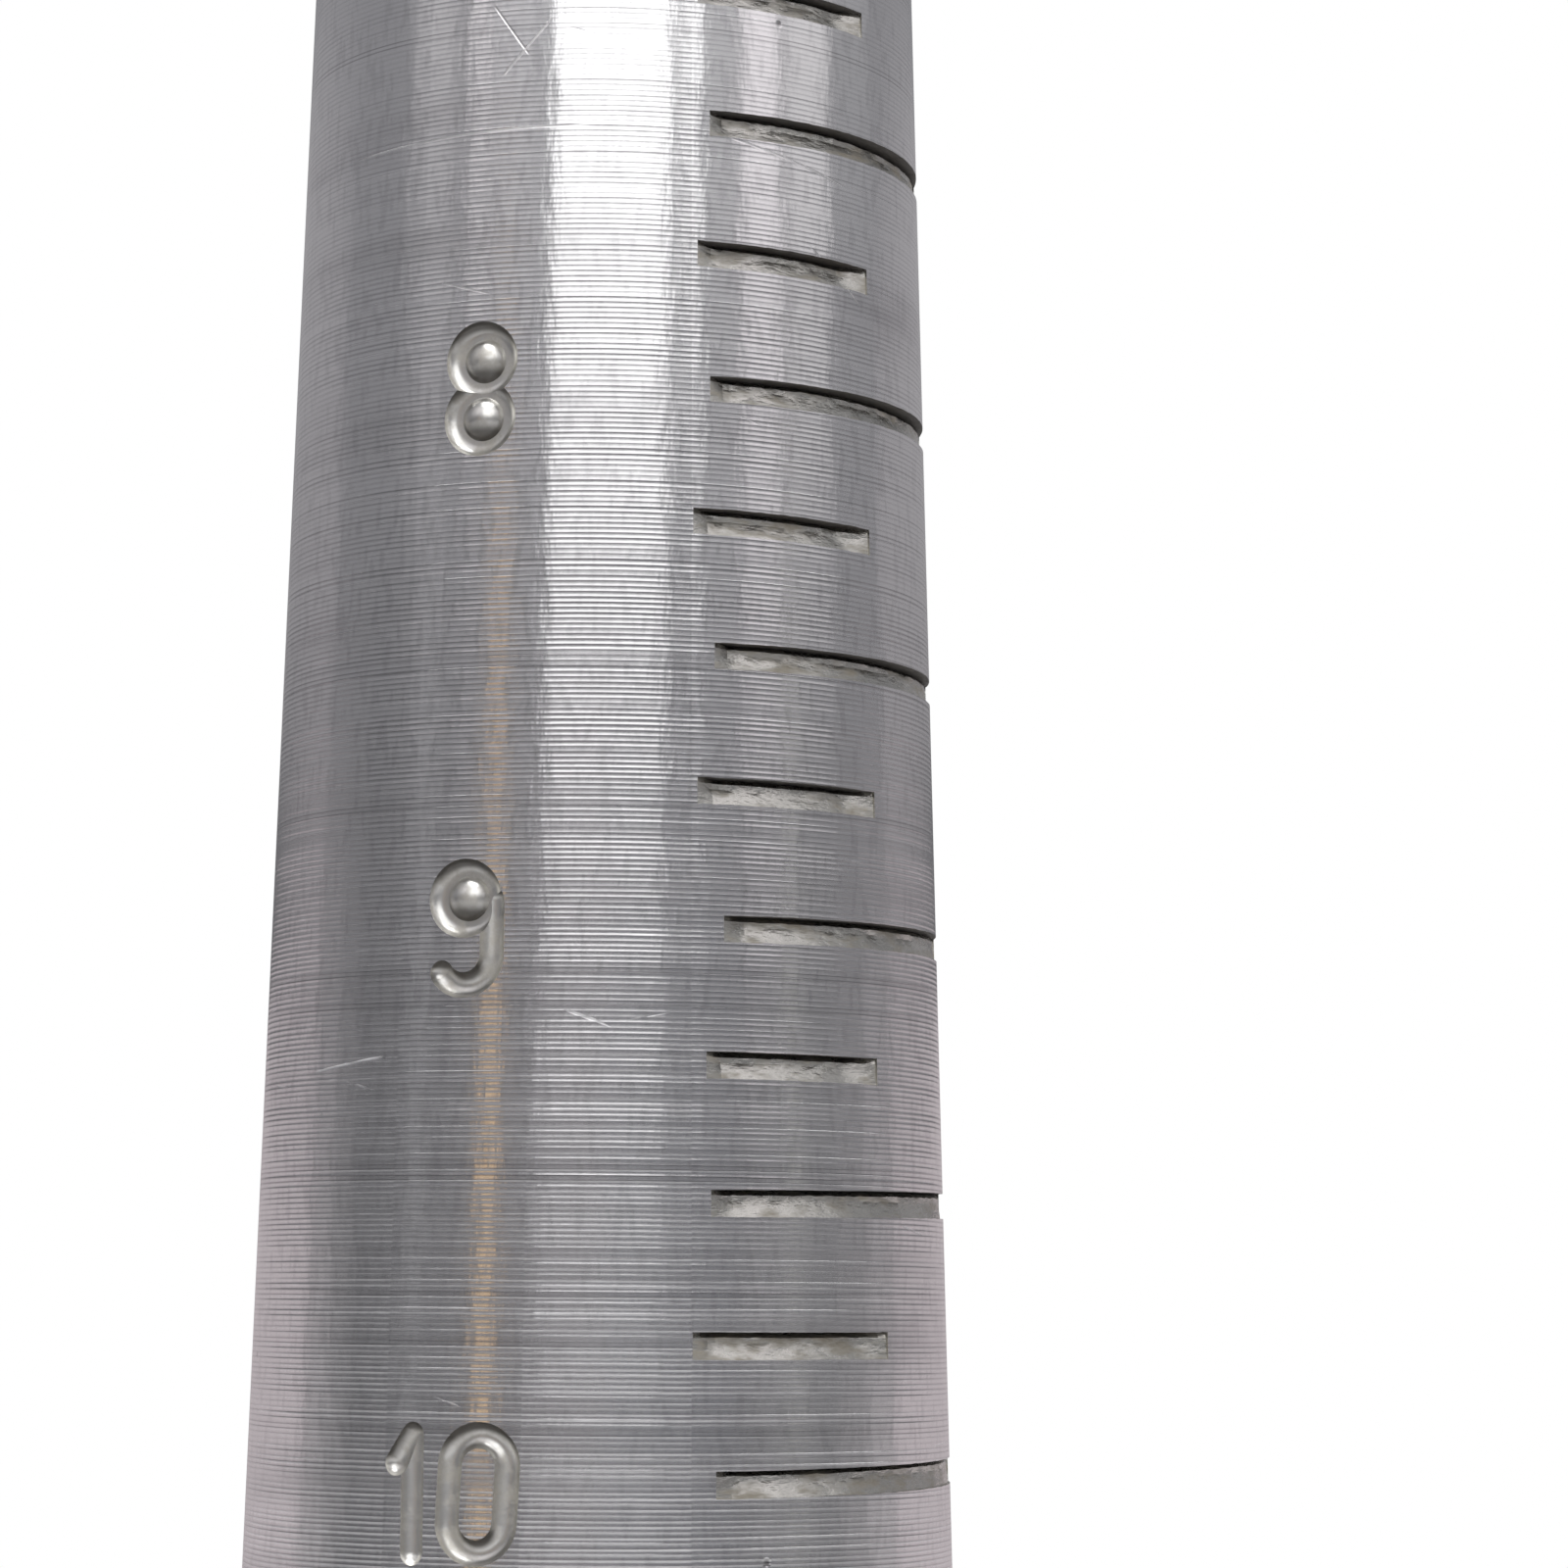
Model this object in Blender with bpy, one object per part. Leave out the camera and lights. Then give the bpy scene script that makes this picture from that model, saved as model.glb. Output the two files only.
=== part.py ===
"""Ring mandrel: a turned aluminium gauge cone on a turned wooden handle.

The tool stands upright on the butt of its handle, thin end of the cone up.  The cone is as thick at each
quarter-size slot as a ring of that US size is wide inside.  A steel stud is screwed into the cone, runs
through the handle and is drawn tight by a nut in the butt, under a wooden plug.

Metres, +Z up.  Origin: middle of the butt face.  The numerals face -Y, a little to the left.
"""
import math

import bmesh
import bpy
from mathutils import Matrix, Vector

MM = 0.001

# ---- gauge cone -----------------------------------------------------------------------------------------
FIRST_SIZE = 1                      # smallest US ring size on the scale
LAST_SIZE = 15                      # largest US ring size on the scale
SLOTS_PER_SIZE = 4                  # one slot for every quarter size
SIZE_PITCH = 14.7 * MM              # length of cone from one whole size to the next
SIZE_0_DIAMETER = 11.63 * MM        # inside diameter of a size 0 ring
DIAMETER_PER_SIZE = 0.8128 * MM     # growth of that diameter per whole size
TIP_MARGIN = 7.3 * MM               # cone beyond the first slot
BASE_MARGIN = 9.5 * MM              # cone beyond the last slot
CONE_CHAMFER = 0.8 * MM             # broken edge at both ends of the cone
CENTRE_DIAMETER = 4.0 * MM          # mouth of the lathe centre in the tip
CENTRE_PILOT_DIAMETER = 1.6 * MM
CENTRE_DEPTH = 4.5 * MM

# ---- scale slots and stamped numerals -------------------------------------------------------------------
SLOT_WIDTH = 0.72 * MM
SLOT_DEPTH = 0.35 * MM
SHORT_SLOT_ARC = (15.5, 51.7)       # degrees round from the front, quarter and three-quarter sizes
LONG_SLOT_ARC = (18.5, 93.0)        # degrees round from the front, whole and half sizes
LONG_SLOT_RUN_OUT = 42.0            # degrees over which a long slot gets shallower towards its end
LONG_SLOT_END_SHARE = 0.15          # of the depth left at its end
NUMERAL_ANGLE = -23.2               # degrees round from the front, middle of every number
NUMERAL_HEIGHT = 3.7 * MM
NUMERAL_WIDTH = 2.2 * MM
NUMERAL_ONE_WIDTH = 1.22 * MM       # the figure 1 is a narrow punch
NUMERAL_GAP = 0.36 * MM
STROKE_WIDTH = 0.6 * MM

# ---- handle ---------------------------------------------------------------------------------------------
HANDLE_LENGTH = 90.0 * MM           # butt to the end of the neck
BEAD_STAND = 1.0 * MM               # how far the bead below the ferrule stands out past it
BEAD_LENGTH = 3.4 * MM
UPPER_WAIST_DIAMETER = 22.6 * MM
UPPER_WAIST_DROP = 9.5 * MM         # from the lower end of the bead
BELLY_DIAMETER = 31.0 * MM
LOWER_WAIST_DIAMETER = 27.0 * MM
LOWER_WAIST_HEIGHT = 17.0 * MM
BUTT_DIAMETER = 34.4 * MM
BUTT_HEIGHT = 6.5 * MM              # height of the thickest ring of the butt
BUTT_ROUND = 2.2 * MM               # set-in of the flat resting face

# ---- ferrule, its pins and the stop collar --------------------------------------------------------------
FERRULE_LENGTH = 14.0 * MM
FERRULE_WALL = 1.3 * MM
FERRULE_BEAD = 0.35 * MM            # how far its lower bead stands out
COLLAR_THICKNESS = 4.4 * MM
COLLAR_STAND = 1.0 * MM             # how far the collar stands out past the cone
COLLAR_CHAMFER = 0.6 * MM
PIN_DIAMETER = 1.6 * MM
PIN_HEAD_DIAMETER = 3.2 * MM
PIN_HEAD_HEIGHT = 0.8 * MM
PIN_HEAD_GAP = 0.15 * MM            # between the flat underside of the head and the ferrule
PIN_LENGTH = 6.0 * MM               # from the ferrule's outside to the point
PIN_ANGLES = (60.0, 240.0)          # degrees round from the front

# ---- stud, nut, washers and plug ------------------------------------------------------------------------
STUD_DIAMETER = 8.0 * MM
STUD_IN_CONE = 26.0 * MM
STUD_PAST_NUT = 1.2 * MM
STUD_CHAMFER = 0.8 * MM
NUT_FLATS_RATIO = 1.625             # across flats over thread diameter, as on a metric nut
NUT_HEIGHT_RATIO = 0.8
WASHER_RATIO = 2.0                  # outside diameter over thread diameter
WASHER_THICKNESS = 1.6 * MM
LOCK_WASHER_RATIO = 1.76
LOCK_WASHER_THICKNESS = 2.0 * MM
LOCK_WASHER_SPLIT = 1.0 * MM
PLUG_LENGTH = 5.0 * MM
PLUG_INSET = 0.6 * MM               # the plug sits this far inside the butt face
PLUG_CHAMFER = 0.5 * MM

# ---- fits -----------------------------------------------------------------------------------------------
SEAT_GAP = 0.3 * MM                 # between faces that meet
BORE_CLEARANCE = 0.3 * MM           # radial, round the stud, neck and pins
SOCKET_CLEARANCE = 0.5 * MM         # radial, round the washers in the butt

# ---- smoothness of round shapes -------------------------------------------------------------------------
CONE_SIDES = 48
HANDLE_SIDES = 40
SMALL_SIDES = 24
PIN_SIDES = 12
CURVE_STEP = 4.0 * MM               # length of one step along the handle's outline

# ---- places that follow from the sizes above ------------------------------------------------------------
HANDLE_TOP = HANDLE_LENGTH
COLLAR_BOTTOM = HANDLE_TOP + SEAT_GAP
COLLAR_TOP = COLLAR_BOTTOM + COLLAR_THICKNESS
CONE_BOTTOM = COLLAR_TOP + SEAT_GAP
LAST_SLOT_HEIGHT = CONE_BOTTOM + BASE_MARGIN
FIRST_SLOT_HEIGHT = LAST_SLOT_HEIGHT + (LAST_SIZE - FIRST_SIZE) * SIZE_PITCH
CONE_TOP = FIRST_SLOT_HEIGHT + TIP_MARGIN


def size_height(size):
    """Height of the middle of a size's slot."""
    return FIRST_SLOT_HEIGHT - (size - FIRST_SIZE) * SIZE_PITCH


def cone_radius(height):
    """Radius of the cone at a height."""
    size = FIRST_SIZE + (FIRST_SLOT_HEIGHT - height) / SIZE_PITCH
    return (SIZE_0_DIAMETER + DIAMETER_PER_SIZE * size) / 2


CONE_BASE_RADIUS = cone_radius(CONE_BOTTOM)
STUD_RADIUS = STUD_DIAMETER / 2
BORE_RADIUS = STUD_RADIUS + BORE_CLEARANCE
FERRULE_RADIUS = CONE_BASE_RADIUS
FERRULE_BORE_RADIUS = FERRULE_RADIUS - FERRULE_WALL
NECK_RADIUS = FERRULE_BORE_RADIUS - BORE_CLEARANCE
SHOULDER_HEIGHT = HANDLE_TOP - FERRULE_LENGTH - SEAT_GAP
WASHER_RADIUS = STUD_RADIUS * WASHER_RATIO
LOCK_WASHER_RADIUS = STUD_RADIUS * LOCK_WASHER_RATIO
NUT_HEIGHT = STUD_DIAMETER * NUT_HEIGHT_RATIO
NUT_CORNER_RADIUS = STUD_RADIUS * NUT_FLATS_RATIO / math.cos(math.radians(30))
SOCKET_RADIUS = max(WASHER_RADIUS, NUT_CORNER_RADIUS) + SOCKET_CLEARANCE
PLUG_TOP = PLUG_INSET + PLUG_LENGTH
STUD_BOTTOM = PLUG_TOP + SEAT_GAP
NUT_BOTTOM = STUD_BOTTOM + STUD_PAST_NUT
NUT_TOP = NUT_BOTTOM + NUT_HEIGHT
LOCK_WASHER_BOTTOM = NUT_TOP + SEAT_GAP
WASHER_BOTTOM = LOCK_WASHER_BOTTOM + LOCK_WASHER_THICKNESS + SEAT_GAP
SOCKET_TOP = WASHER_BOTTOM + WASHER_THICKNESS + SEAT_GAP
STUD_TOP = CONE_BOTTOM + STUD_IN_CONE
TAPPED_HOLE_TOP = STUD_TOP + SEAT_GAP
DRILL_POINT = BORE_RADIUS * math.tan(math.radians(31))


# ---- helpers --------------------------------------------------------------------------------------------
def clear_scene():
    for item in list(bpy.data.objects):
        bpy.data.objects.remove(item, do_unlink=True)


def material(name, colour, roughness, metallic):
    """Principled material of one plain finish."""
    finish = bpy.data.materials.new(name)
    finish.use_nodes = True
    shader = finish.node_tree.nodes["Principled BSDF"]
    shader.inputs["Base Color"].default_value = (*colour, 1.0)
    shader.inputs["Roughness"].default_value = roughness
    shader.inputs["Metallic"].default_value = metallic
    finish.diffuse_color = (*colour, 1.0)
    return finish


def add_object(name, mesh, finish=None):
    item = bpy.data.objects.new(name, mesh)
    bpy.context.scene.collection.objects.link(item)
    if finish is not None:
        mesh.materials.append(finish)
    return item


def mark_cutter(item):
    """A cutter is a guide only: wire in the viewport and absent from the model."""
    item.display_type = "WIRE"
    item.hide_render = True


def turned(name, outline, sides, finish=None, closed=False):
    """Solid of revolution about Z from (radius, height) points, outer side listed top to bottom."""
    mesh = bpy.data.meshes.new(name)
    points = [(radius, 0.0, height) for radius, height in outline]
    edges = [(index, index + 1) for index in range(len(points) - 1)]
    if closed:
        edges.append((len(points) - 1, 0))
    mesh.from_pydata(points, edges, [])
    item = add_object(name, mesh, finish)
    screw = item.modifiers.new("turn", "SCREW")
    screw.axis = "Z"
    screw.steps = sides
    screw.render_steps = sides
    screw.use_merge_vertices = True
    screw.merge_threshold = 0.00001
    screw.use_smooth_shade = True
    return item


def cut(item, cutter, operation="DIFFERENCE", crossing=False):
    """Boolean of the item with the cutter; crossing allows cutter shapes that pass through each other."""
    boolean = item.modifiers.new("cut_" + cutter.name, "BOOLEAN")
    boolean.solver = "EXACT"
    boolean.operation = operation
    boolean.object = cutter
    boolean.use_self = crossing


def eased(start, end, share):
    """Smooth change from start to end that is level at both."""
    return start + (end - start) * (1 - math.cos(math.pi * share)) / 2


def round_corner(centre, radius, first, last, steps):
    """Points of an arc in the outline plane, angles in degrees from the +radius direction."""
    points = []
    for index in range(steps + 1):
        angle = math.radians(first + (last - first) * index / steps)
        points.append((centre[0] + radius * math.cos(angle), centre[1] + radius * math.sin(angle)))
    return points


# ---- gauge cone -----------------------------------------------------------------------------------------
def cone_outline():
    """Lathe centre in the tip, tapered gauge face, tapped hole in the base."""
    tip = cone_radius(CONE_TOP)
    base = CONE_BASE_RADIUS
    mouth = CENTRE_DIAMETER / 2
    pilot = CENTRE_PILOT_DIAMETER / 2
    mouth_depth = (mouth - pilot) / math.tan(math.radians(30))
    return [
        (0.0, CONE_TOP - CENTRE_DEPTH - pilot),
        (pilot, CONE_TOP - CENTRE_DEPTH),
        (pilot, CONE_TOP - mouth_depth),
        (mouth, CONE_TOP),
        (tip - CONE_CHAMFER, CONE_TOP),
        (cone_radius(CONE_TOP - CONE_CHAMFER), CONE_TOP - CONE_CHAMFER),
        (cone_radius(CONE_BOTTOM + CONE_CHAMFER), CONE_BOTTOM + CONE_CHAMFER),
        (base - CONE_CHAMFER, CONE_BOTTOM),
        (BORE_RADIUS, CONE_BOTTOM),
        (BORE_RADIUS, TAPPED_HOLE_TOP),
        (0.0, TAPPED_HOLE_TOP + DRILL_POINT),
    ]


def run_out_slot(shape, height, end):
    """Brings the floor of the newest slot up towards its end."""
    for vertex in shape.verts:
        radius = math.hypot(vertex.co.x, vertex.co.y)
        if vertex.tag or radius > cone_radius(height):
            continue
        degrees = math.degrees(math.atan2(vertex.co.x, -vertex.co.y))
        left = min(1.0, max(0.0, (end - degrees) / LONG_SLOT_RUN_OUT))
        depth = SLOT_DEPTH * (LONG_SLOT_END_SHARE + (1 - LONG_SLOT_END_SHARE) * left)
        lift = (cone_radius(height) - depth) / radius
        vertex.co.x *= lift
        vertex.co.y *= lift


def slot_cutter():
    """One closed curved bar for every slot of the scale, all in one cutter."""
    shape = bmesh.new()
    reach = 1.0 * MM
    degrees_per_step = 360 / CONE_SIDES
    for index in range((LAST_SIZE - FIRST_SIZE) * SLOTS_PER_SIZE + 1):
        size = FIRST_SIZE + index / SLOTS_PER_SIZE
        start, end = LONG_SLOT_ARC if (2 * size).is_integer() else SHORT_SLOT_ARC
        height = size_height(size)
        inner = cone_radius(height) - SLOT_DEPTH
        outer = cone_radius(height) + reach
        corners = []
        for radius, side in ((inner, -1), (outer, -1), (outer, 1), (inner, 1)):
            corners.append(shape.verts.new((0.0, -radius, height + side * SLOT_WIDTH / 2)))
        section = shape.faces.new(corners)
        bmesh.ops.rotate(shape, verts=corners, matrix=Matrix.Rotation(math.radians(start), 3, "Z"))
        bmesh.ops.spin(shape, geom=[section, *section.edges, *corners], axis=(0, 0, 1), cent=(0, 0, 0),
                       angle=math.radians(end - start), steps=math.ceil((end - start) / degrees_per_step))
        if (2 * size).is_integer():
            run_out_slot(shape, height, end)
        for vertex in shape.verts:
            vertex.tag = True
    bmesh.ops.recalc_face_normals(shape, faces=shape.faces)
    mesh = bpy.data.meshes.new("slot_cutter")
    shape.to_mesh(mesh)
    shape.free()
    cutter = add_object("slot_cutter", mesh)
    mark_cutter(cutter)
    return cutter


def arc(centre_x, centre_y, radius, first, last, steps=10):
    """Points of a stroke along an arc, angles in degrees."""
    points = []
    for index in range(steps + 1):
        angle = math.radians(first + (last - first) * index / steps)
        points.append((centre_x + radius * math.cos(angle), centre_y + radius * math.sin(angle)))
    return points


def figure_strokes(figure):
    """Centre lines of a stamped figure as (points, is_a_loop), centred on the origin."""
    high = (NUMERAL_HEIGHT - STROKE_WIDTH) / 2
    wide = (NUMERAL_WIDTH - STROKE_WIDTH) / 2
    narrow = (NUMERAL_ONE_WIDTH - STROKE_WIDTH) / 2
    bowl = high / 2
    crossbar = -0.35 * high
    stem = 0.45 * wide
    top_arc = high - wide
    if figure == "0":
        loop = arc(0, top_arc, wide, 180, 0, 6) + arc(0, -top_arc, wide, 0, -180, 6)
        return [(loop, True)]
    if figure == "1":
        return [([(-narrow, 0.5 * high), (narrow, high), (narrow, -high)], False)]
    if figure == "2":
        return [(arc(0, top_arc, wide, 165, -35, 8) + [(-wide, -high), (wide, -high)], False)]
    if figure == "3":
        return [(arc(0, bowl, bowl, 150, -75, 8) + arc(0, -bowl, bowl, 75, -150, 8), False)]
    if figure == "4":
        return [([(stem, -high), (stem, high), (-wide, crossbar), (wide, crossbar)], False)]
    if figure == "5":
        lower = high - wide
        return [([(wide, high), (-0.85 * wide, high), (-0.85 * wide, 0.1 * high)]
                 + arc(0, -lower, wide, 118, -145, 9), False)]
    if figure in "69":
        turn = 1 if figure == "6" else -1
        bowl_loop = arc(0, -top_arc, wide, 0, 324, 9)
        tail = [(-wide, 0.0)] + arc(0, top_arc, wide, 180, 35, 5)
        strokes = [(bowl_loop, True), ([(-wide, -top_arc)] + tail, False)]
        return [([(turn * x, turn * y) for x, y in points], loop) for points, loop in strokes]
    if figure == "7":
        return [([(-wide, high), (wide, high), (-0.2 * wide, -high)], False)]
    return [(arc(0, side * bowl, bowl, 0, 324, 9), True) for side in (1, -1)]


def figure_width(figure):
    return NUMERAL_ONE_WIDTH if figure == "1" else NUMERAL_WIDTH


def numeral_cutter():
    """Round bars along the strokes of every whole size's number, laid on the cone's face."""
    curve = bpy.data.curves.new("numeral_strokes", "CURVE")
    curve.dimensions = "3D"
    curve.bevel_depth = STROKE_WIDTH / 2
    curve.bevel_resolution = 1
    curve.use_fill_caps = True
    for size in range(FIRST_SIZE, LAST_SIZE + 1):
        figures = str(size)
        total = sum(figure_width(figure) for figure in figures) + NUMERAL_GAP * (len(figures) - 1)
        left = -total / 2
        for figure in figures:
            middle = left + figure_width(figure) / 2
            left += figure_width(figure) + NUMERAL_GAP
            for points, loop in figure_strokes(figure):
                spline = curve.splines.new("POLY")
                spline.points.add(len(points) - 1)
                spline.use_cyclic_u = loop
                for point, (across, up) in zip(spline.points, points):
                    height = size_height(size) + up
                    radius = cone_radius(height)
                    angle = math.radians(NUMERAL_ANGLE) + (middle + across) / radius
                    point.co = (radius * math.sin(angle), -radius * math.cos(angle), height, 1.0)
    guide = add_object("numeral_strokes", curve)
    mark_cutter(guide)
    depsgraph = bpy.context.evaluated_depsgraph_get()
    mesh = bpy.data.meshes.new_from_object(guide.evaluated_get(depsgraph))
    mesh.name = "numeral_cutter"
    cutter = add_object("numeral_cutter", mesh)
    mark_cutter(cutter)
    return cutter


def gauge_cone(finish):
    cone = turned("gauge_cone", cone_outline(), CONE_SIDES, finish)
    cut(cone, slot_cutter())
    cut(cone, numeral_cutter(), crossing=True)


# ---- collar, ferrule and pins ---------------------------------------------------------------------------
def stop_collar(finish):
    """Plain collar that the cone is drawn down on; it stops a ring from sliding on to the handle."""
    outer = CONE_BASE_RADIUS + COLLAR_STAND
    outline = [
        (BORE_RADIUS, COLLAR_TOP),
        (outer - COLLAR_CHAMFER, COLLAR_TOP),
        (outer, COLLAR_TOP - COLLAR_CHAMFER),
        (outer, COLLAR_BOTTOM + COLLAR_CHAMFER),
        (outer - COLLAR_CHAMFER, COLLAR_BOTTOM),
        (BORE_RADIUS, COLLAR_BOTTOM),
    ]
    turned("stop_collar", outline, HANDLE_SIDES, finish, closed=True)


def pin_place(angle):
    """Matrix that stands a pin's +Z along the outward direction at an angle round from the front."""
    height = HANDLE_TOP - FERRULE_LENGTH / 2
    turn = Matrix.Rotation(math.radians(angle), 4, "Z")
    lay_down = Matrix.Rotation(math.radians(90), 4, "X")
    return turn @ Matrix.Translation((0.0, 0.0, height)) @ lay_down


def pin_hole_cutters():
    """Round bars through the ferrule wall and into the neck, one for each pin."""
    cutters = []
    radius = PIN_DIAMETER / 2 + BORE_CLEARANCE
    outside = FERRULE_RADIUS + PIN_HEAD_HEIGHT
    bottom = FERRULE_RADIUS - PIN_LENGTH - SEAT_GAP
    for number, angle in enumerate(PIN_ANGLES, start=1):
        outline = [(0.0, outside), (radius, outside), (radius, bottom), (0.0, bottom)]
        cutter = turned(f"pin_hole_cutter_{number}", outline, PIN_SIDES)
        cutter.matrix_world = pin_place(angle)
        mark_cutter(cutter)
        cutters.append(cutter)
    return cutters


def ferrule_pins(finish):
    """Round-headed pins that hold the ferrule on the neck."""
    shank = PIN_DIAMETER / 2
    head = PIN_HEAD_DIAMETER / 2
    head_foot = FERRULE_RADIUS + PIN_HEAD_GAP
    point = FERRULE_RADIUS - PIN_LENGTH
    for number, angle in enumerate(PIN_ANGLES, start=1):
        outline = [(0.0, head_foot + PIN_HEAD_HEIGHT)]
        for index in range(1, 4):
            slope = math.radians(90 - 30 * index)
            outline.append((head * math.cos(slope), head_foot + PIN_HEAD_HEIGHT * math.sin(slope)))
        outline += [(shank, head_foot), (shank, point + shank), (0.0, point)]
        pin = turned(f"ferrule_pin_{number}", outline, PIN_SIDES, finish)
        pin.matrix_world = pin_place(angle)


def ferrule(finish, pin_holes):
    """Tube over the neck, flush with the cone, with a small bead round its lower end."""
    top = HANDLE_TOP
    bottom = HANDLE_TOP - FERRULE_LENGTH
    bead = 3 * FERRULE_BEAD
    outline = [(FERRULE_BORE_RADIUS, top), (FERRULE_RADIUS - FERRULE_BEAD, top)]
    outline += [(FERRULE_RADIUS, top - FERRULE_BEAD)]
    outline += round_corner((FERRULE_RADIUS, bottom + bead), FERRULE_BEAD, 90, -90, 4)
    outline += [(FERRULE_RADIUS, bottom + FERRULE_BEAD), (FERRULE_RADIUS - FERRULE_BEAD, bottom)]
    outline += [(FERRULE_BORE_RADIUS, bottom)]
    tube = turned("ferrule", outline, HANDLE_SIDES, finish, closed=True)
    for cutter in pin_holes:
        cut(tube, cutter)


# ---- handle ---------------------------------------------------------------------------------------------
def handle_outline():
    """Neck, bead, upper waist, belly, lower waist, butt, then the stepped hole back up the middle."""
    bead_radius = FERRULE_RADIUS + BEAD_STAND
    bead_centre = SHOULDER_HEIGHT - BEAD_LENGTH / 2
    bead_bottom = SHOULDER_HEIGHT - BEAD_LENGTH
    upper_waist = (UPPER_WAIST_DIAMETER / 2, bead_bottom - UPPER_WAIST_DROP)
    lower_waist = (LOWER_WAIST_DIAMETER / 2, LOWER_WAIST_HEIGHT)
    belly = (BELLY_DIAMETER / 2, (upper_waist[1] + lower_waist[1]) / 2)
    butt = (BUTT_DIAMETER / 2, BUTT_HEIGHT)
    foot = (bead_radius - BEAD_LENGTH / 2, bead_bottom)
    outline = [(NECK_RADIUS, HANDLE_TOP), (NECK_RADIUS, SHOULDER_HEIGHT)]
    outline += round_corner((bead_radius - BEAD_LENGTH / 2, bead_centre), BEAD_LENGTH / 2, 90, -90, 6)
    stations = [foot, upper_waist, belly, lower_waist, butt]
    for start, end in zip(stations, stations[1:]):
        steps = max(2, round((start[1] - end[1]) / CURVE_STEP))
        for index in range(1, steps + 1):
            share = index / steps
            outline.append((eased(start[0], end[0], share), start[1] + (end[1] - start[1]) * share))
    for angle in (30, 60, 90):
        turn = math.radians(angle)
        set_in = BUTT_ROUND * (1 - math.cos(turn))
        outline.append((butt[0] - set_in, BUTT_HEIGHT * (1 - math.sin(turn))))
    outline += [(SOCKET_RADIUS, 0.0), (SOCKET_RADIUS, SOCKET_TOP)]
    outline += [(BORE_RADIUS, SOCKET_TOP), (BORE_RADIUS, HANDLE_TOP)]
    return outline


def handle(finish, pin_holes):
    grip = turned("handle", handle_outline(), HANDLE_SIDES, finish, closed=True)
    for cutter in pin_holes:
        cut(grip, cutter)


# ---- stud, nut, washers and plug ------------------------------------------------------------------------
def handle_stud(finish):
    """Threaded rod, drawn here at its outside diameter."""
    outline = [
        (0.0, STUD_TOP),
        (STUD_RADIUS - STUD_CHAMFER, STUD_TOP),
        (STUD_RADIUS, STUD_TOP - STUD_CHAMFER),
        (STUD_RADIUS, STUD_BOTTOM + STUD_CHAMFER),
        (STUD_RADIUS - STUD_CHAMFER, STUD_BOTTOM),
        (0.0, STUD_BOTTOM),
    ]
    turned("handle_stud", outline, SMALL_SIDES, finish)


def ring(name, inner, outer, bottom, thickness, finish):
    outline = [(inner, bottom + thickness), (outer, bottom + thickness), (outer, bottom), (inner, bottom)]
    return turned(name, outline, SMALL_SIDES, finish, closed=True)


def end_washer(finish):
    ring("end_washer", BORE_RADIUS, WASHER_RADIUS, WASHER_BOTTOM, WASHER_THICKNESS, finish)


def lock_washer(finish):
    """Spring washer: a ring split by a slanting cut."""
    spring = ring("lock_washer", BORE_RADIUS, LOCK_WASHER_RADIUS, LOCK_WASHER_BOTTOM, LOCK_WASHER_THICKNESS, finish)
    shape = bmesh.new()
    bmesh.ops.create_cube(shape, size=1.0)
    length = 2 * LOCK_WASHER_RADIUS
    bmesh.ops.scale(shape, vec=(length, LOCK_WASHER_SPLIT, 3 * LOCK_WASHER_THICKNESS), verts=shape.verts)
    bmesh.ops.rotate(shape, verts=shape.verts, matrix=Matrix.Rotation(math.radians(25), 3, "X"))
    middle = Vector((length / 2 + STUD_RADIUS / 2, 0.0, LOCK_WASHER_BOTTOM + LOCK_WASHER_THICKNESS / 2))
    bmesh.ops.translate(shape, vec=middle, verts=shape.verts)
    mesh = bpy.data.meshes.new("split_cutter")
    shape.to_mesh(mesh)
    shape.free()
    cutter = add_object("split_cutter", mesh)
    mark_cutter(cutter)
    cut(spring, cutter)


def end_nut(finish):
    """Hexagon nut with both faces turned to a chamfer."""
    shape = bmesh.new()
    bmesh.ops.create_cone(shape, cap_ends=True, segments=6, radius1=NUT_CORNER_RADIUS, radius2=NUT_CORNER_RADIUS,
                          depth=NUT_HEIGHT)
    bmesh.ops.translate(shape, vec=(0.0, 0.0, NUT_BOTTOM + NUT_HEIGHT / 2), verts=shape.verts)
    mesh = bpy.data.meshes.new("end_nut")
    shape.to_mesh(mesh)
    shape.free()
    nut = add_object("end_nut", mesh, finish)
    flats_radius = STUD_RADIUS * NUT_FLATS_RATIO
    rise = (NUT_CORNER_RADIUS - flats_radius) * math.tan(math.radians(30))
    limit = NUT_CORNER_RADIUS * 1.02
    outline = [
        (BORE_RADIUS, NUT_TOP),
        (flats_radius, NUT_TOP),
        (limit, NUT_TOP - rise),
        (limit, NUT_BOTTOM + rise),
        (flats_radius, NUT_BOTTOM),
        (BORE_RADIUS, NUT_BOTTOM),
    ]
    form = turned("nut_chamfer_form", outline, SMALL_SIDES, closed=True)
    mark_cutter(form)
    cut(nut, form, operation="INTERSECT")


def end_plug(finish):
    """Wooden plug that closes the nut's socket, just inside the butt face."""
    radius = SOCKET_RADIUS - BORE_CLEARANCE
    outline = [
        (0.0, PLUG_TOP),
        (radius - PLUG_CHAMFER, PLUG_TOP),
        (radius, PLUG_TOP - PLUG_CHAMFER),
        (radius, PLUG_INSET + PLUG_CHAMFER),
        (radius - PLUG_CHAMFER, PLUG_INSET),
        (0.0, PLUG_INSET),
    ]
    turned("end_plug", outline, SMALL_SIDES, finish)


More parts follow.
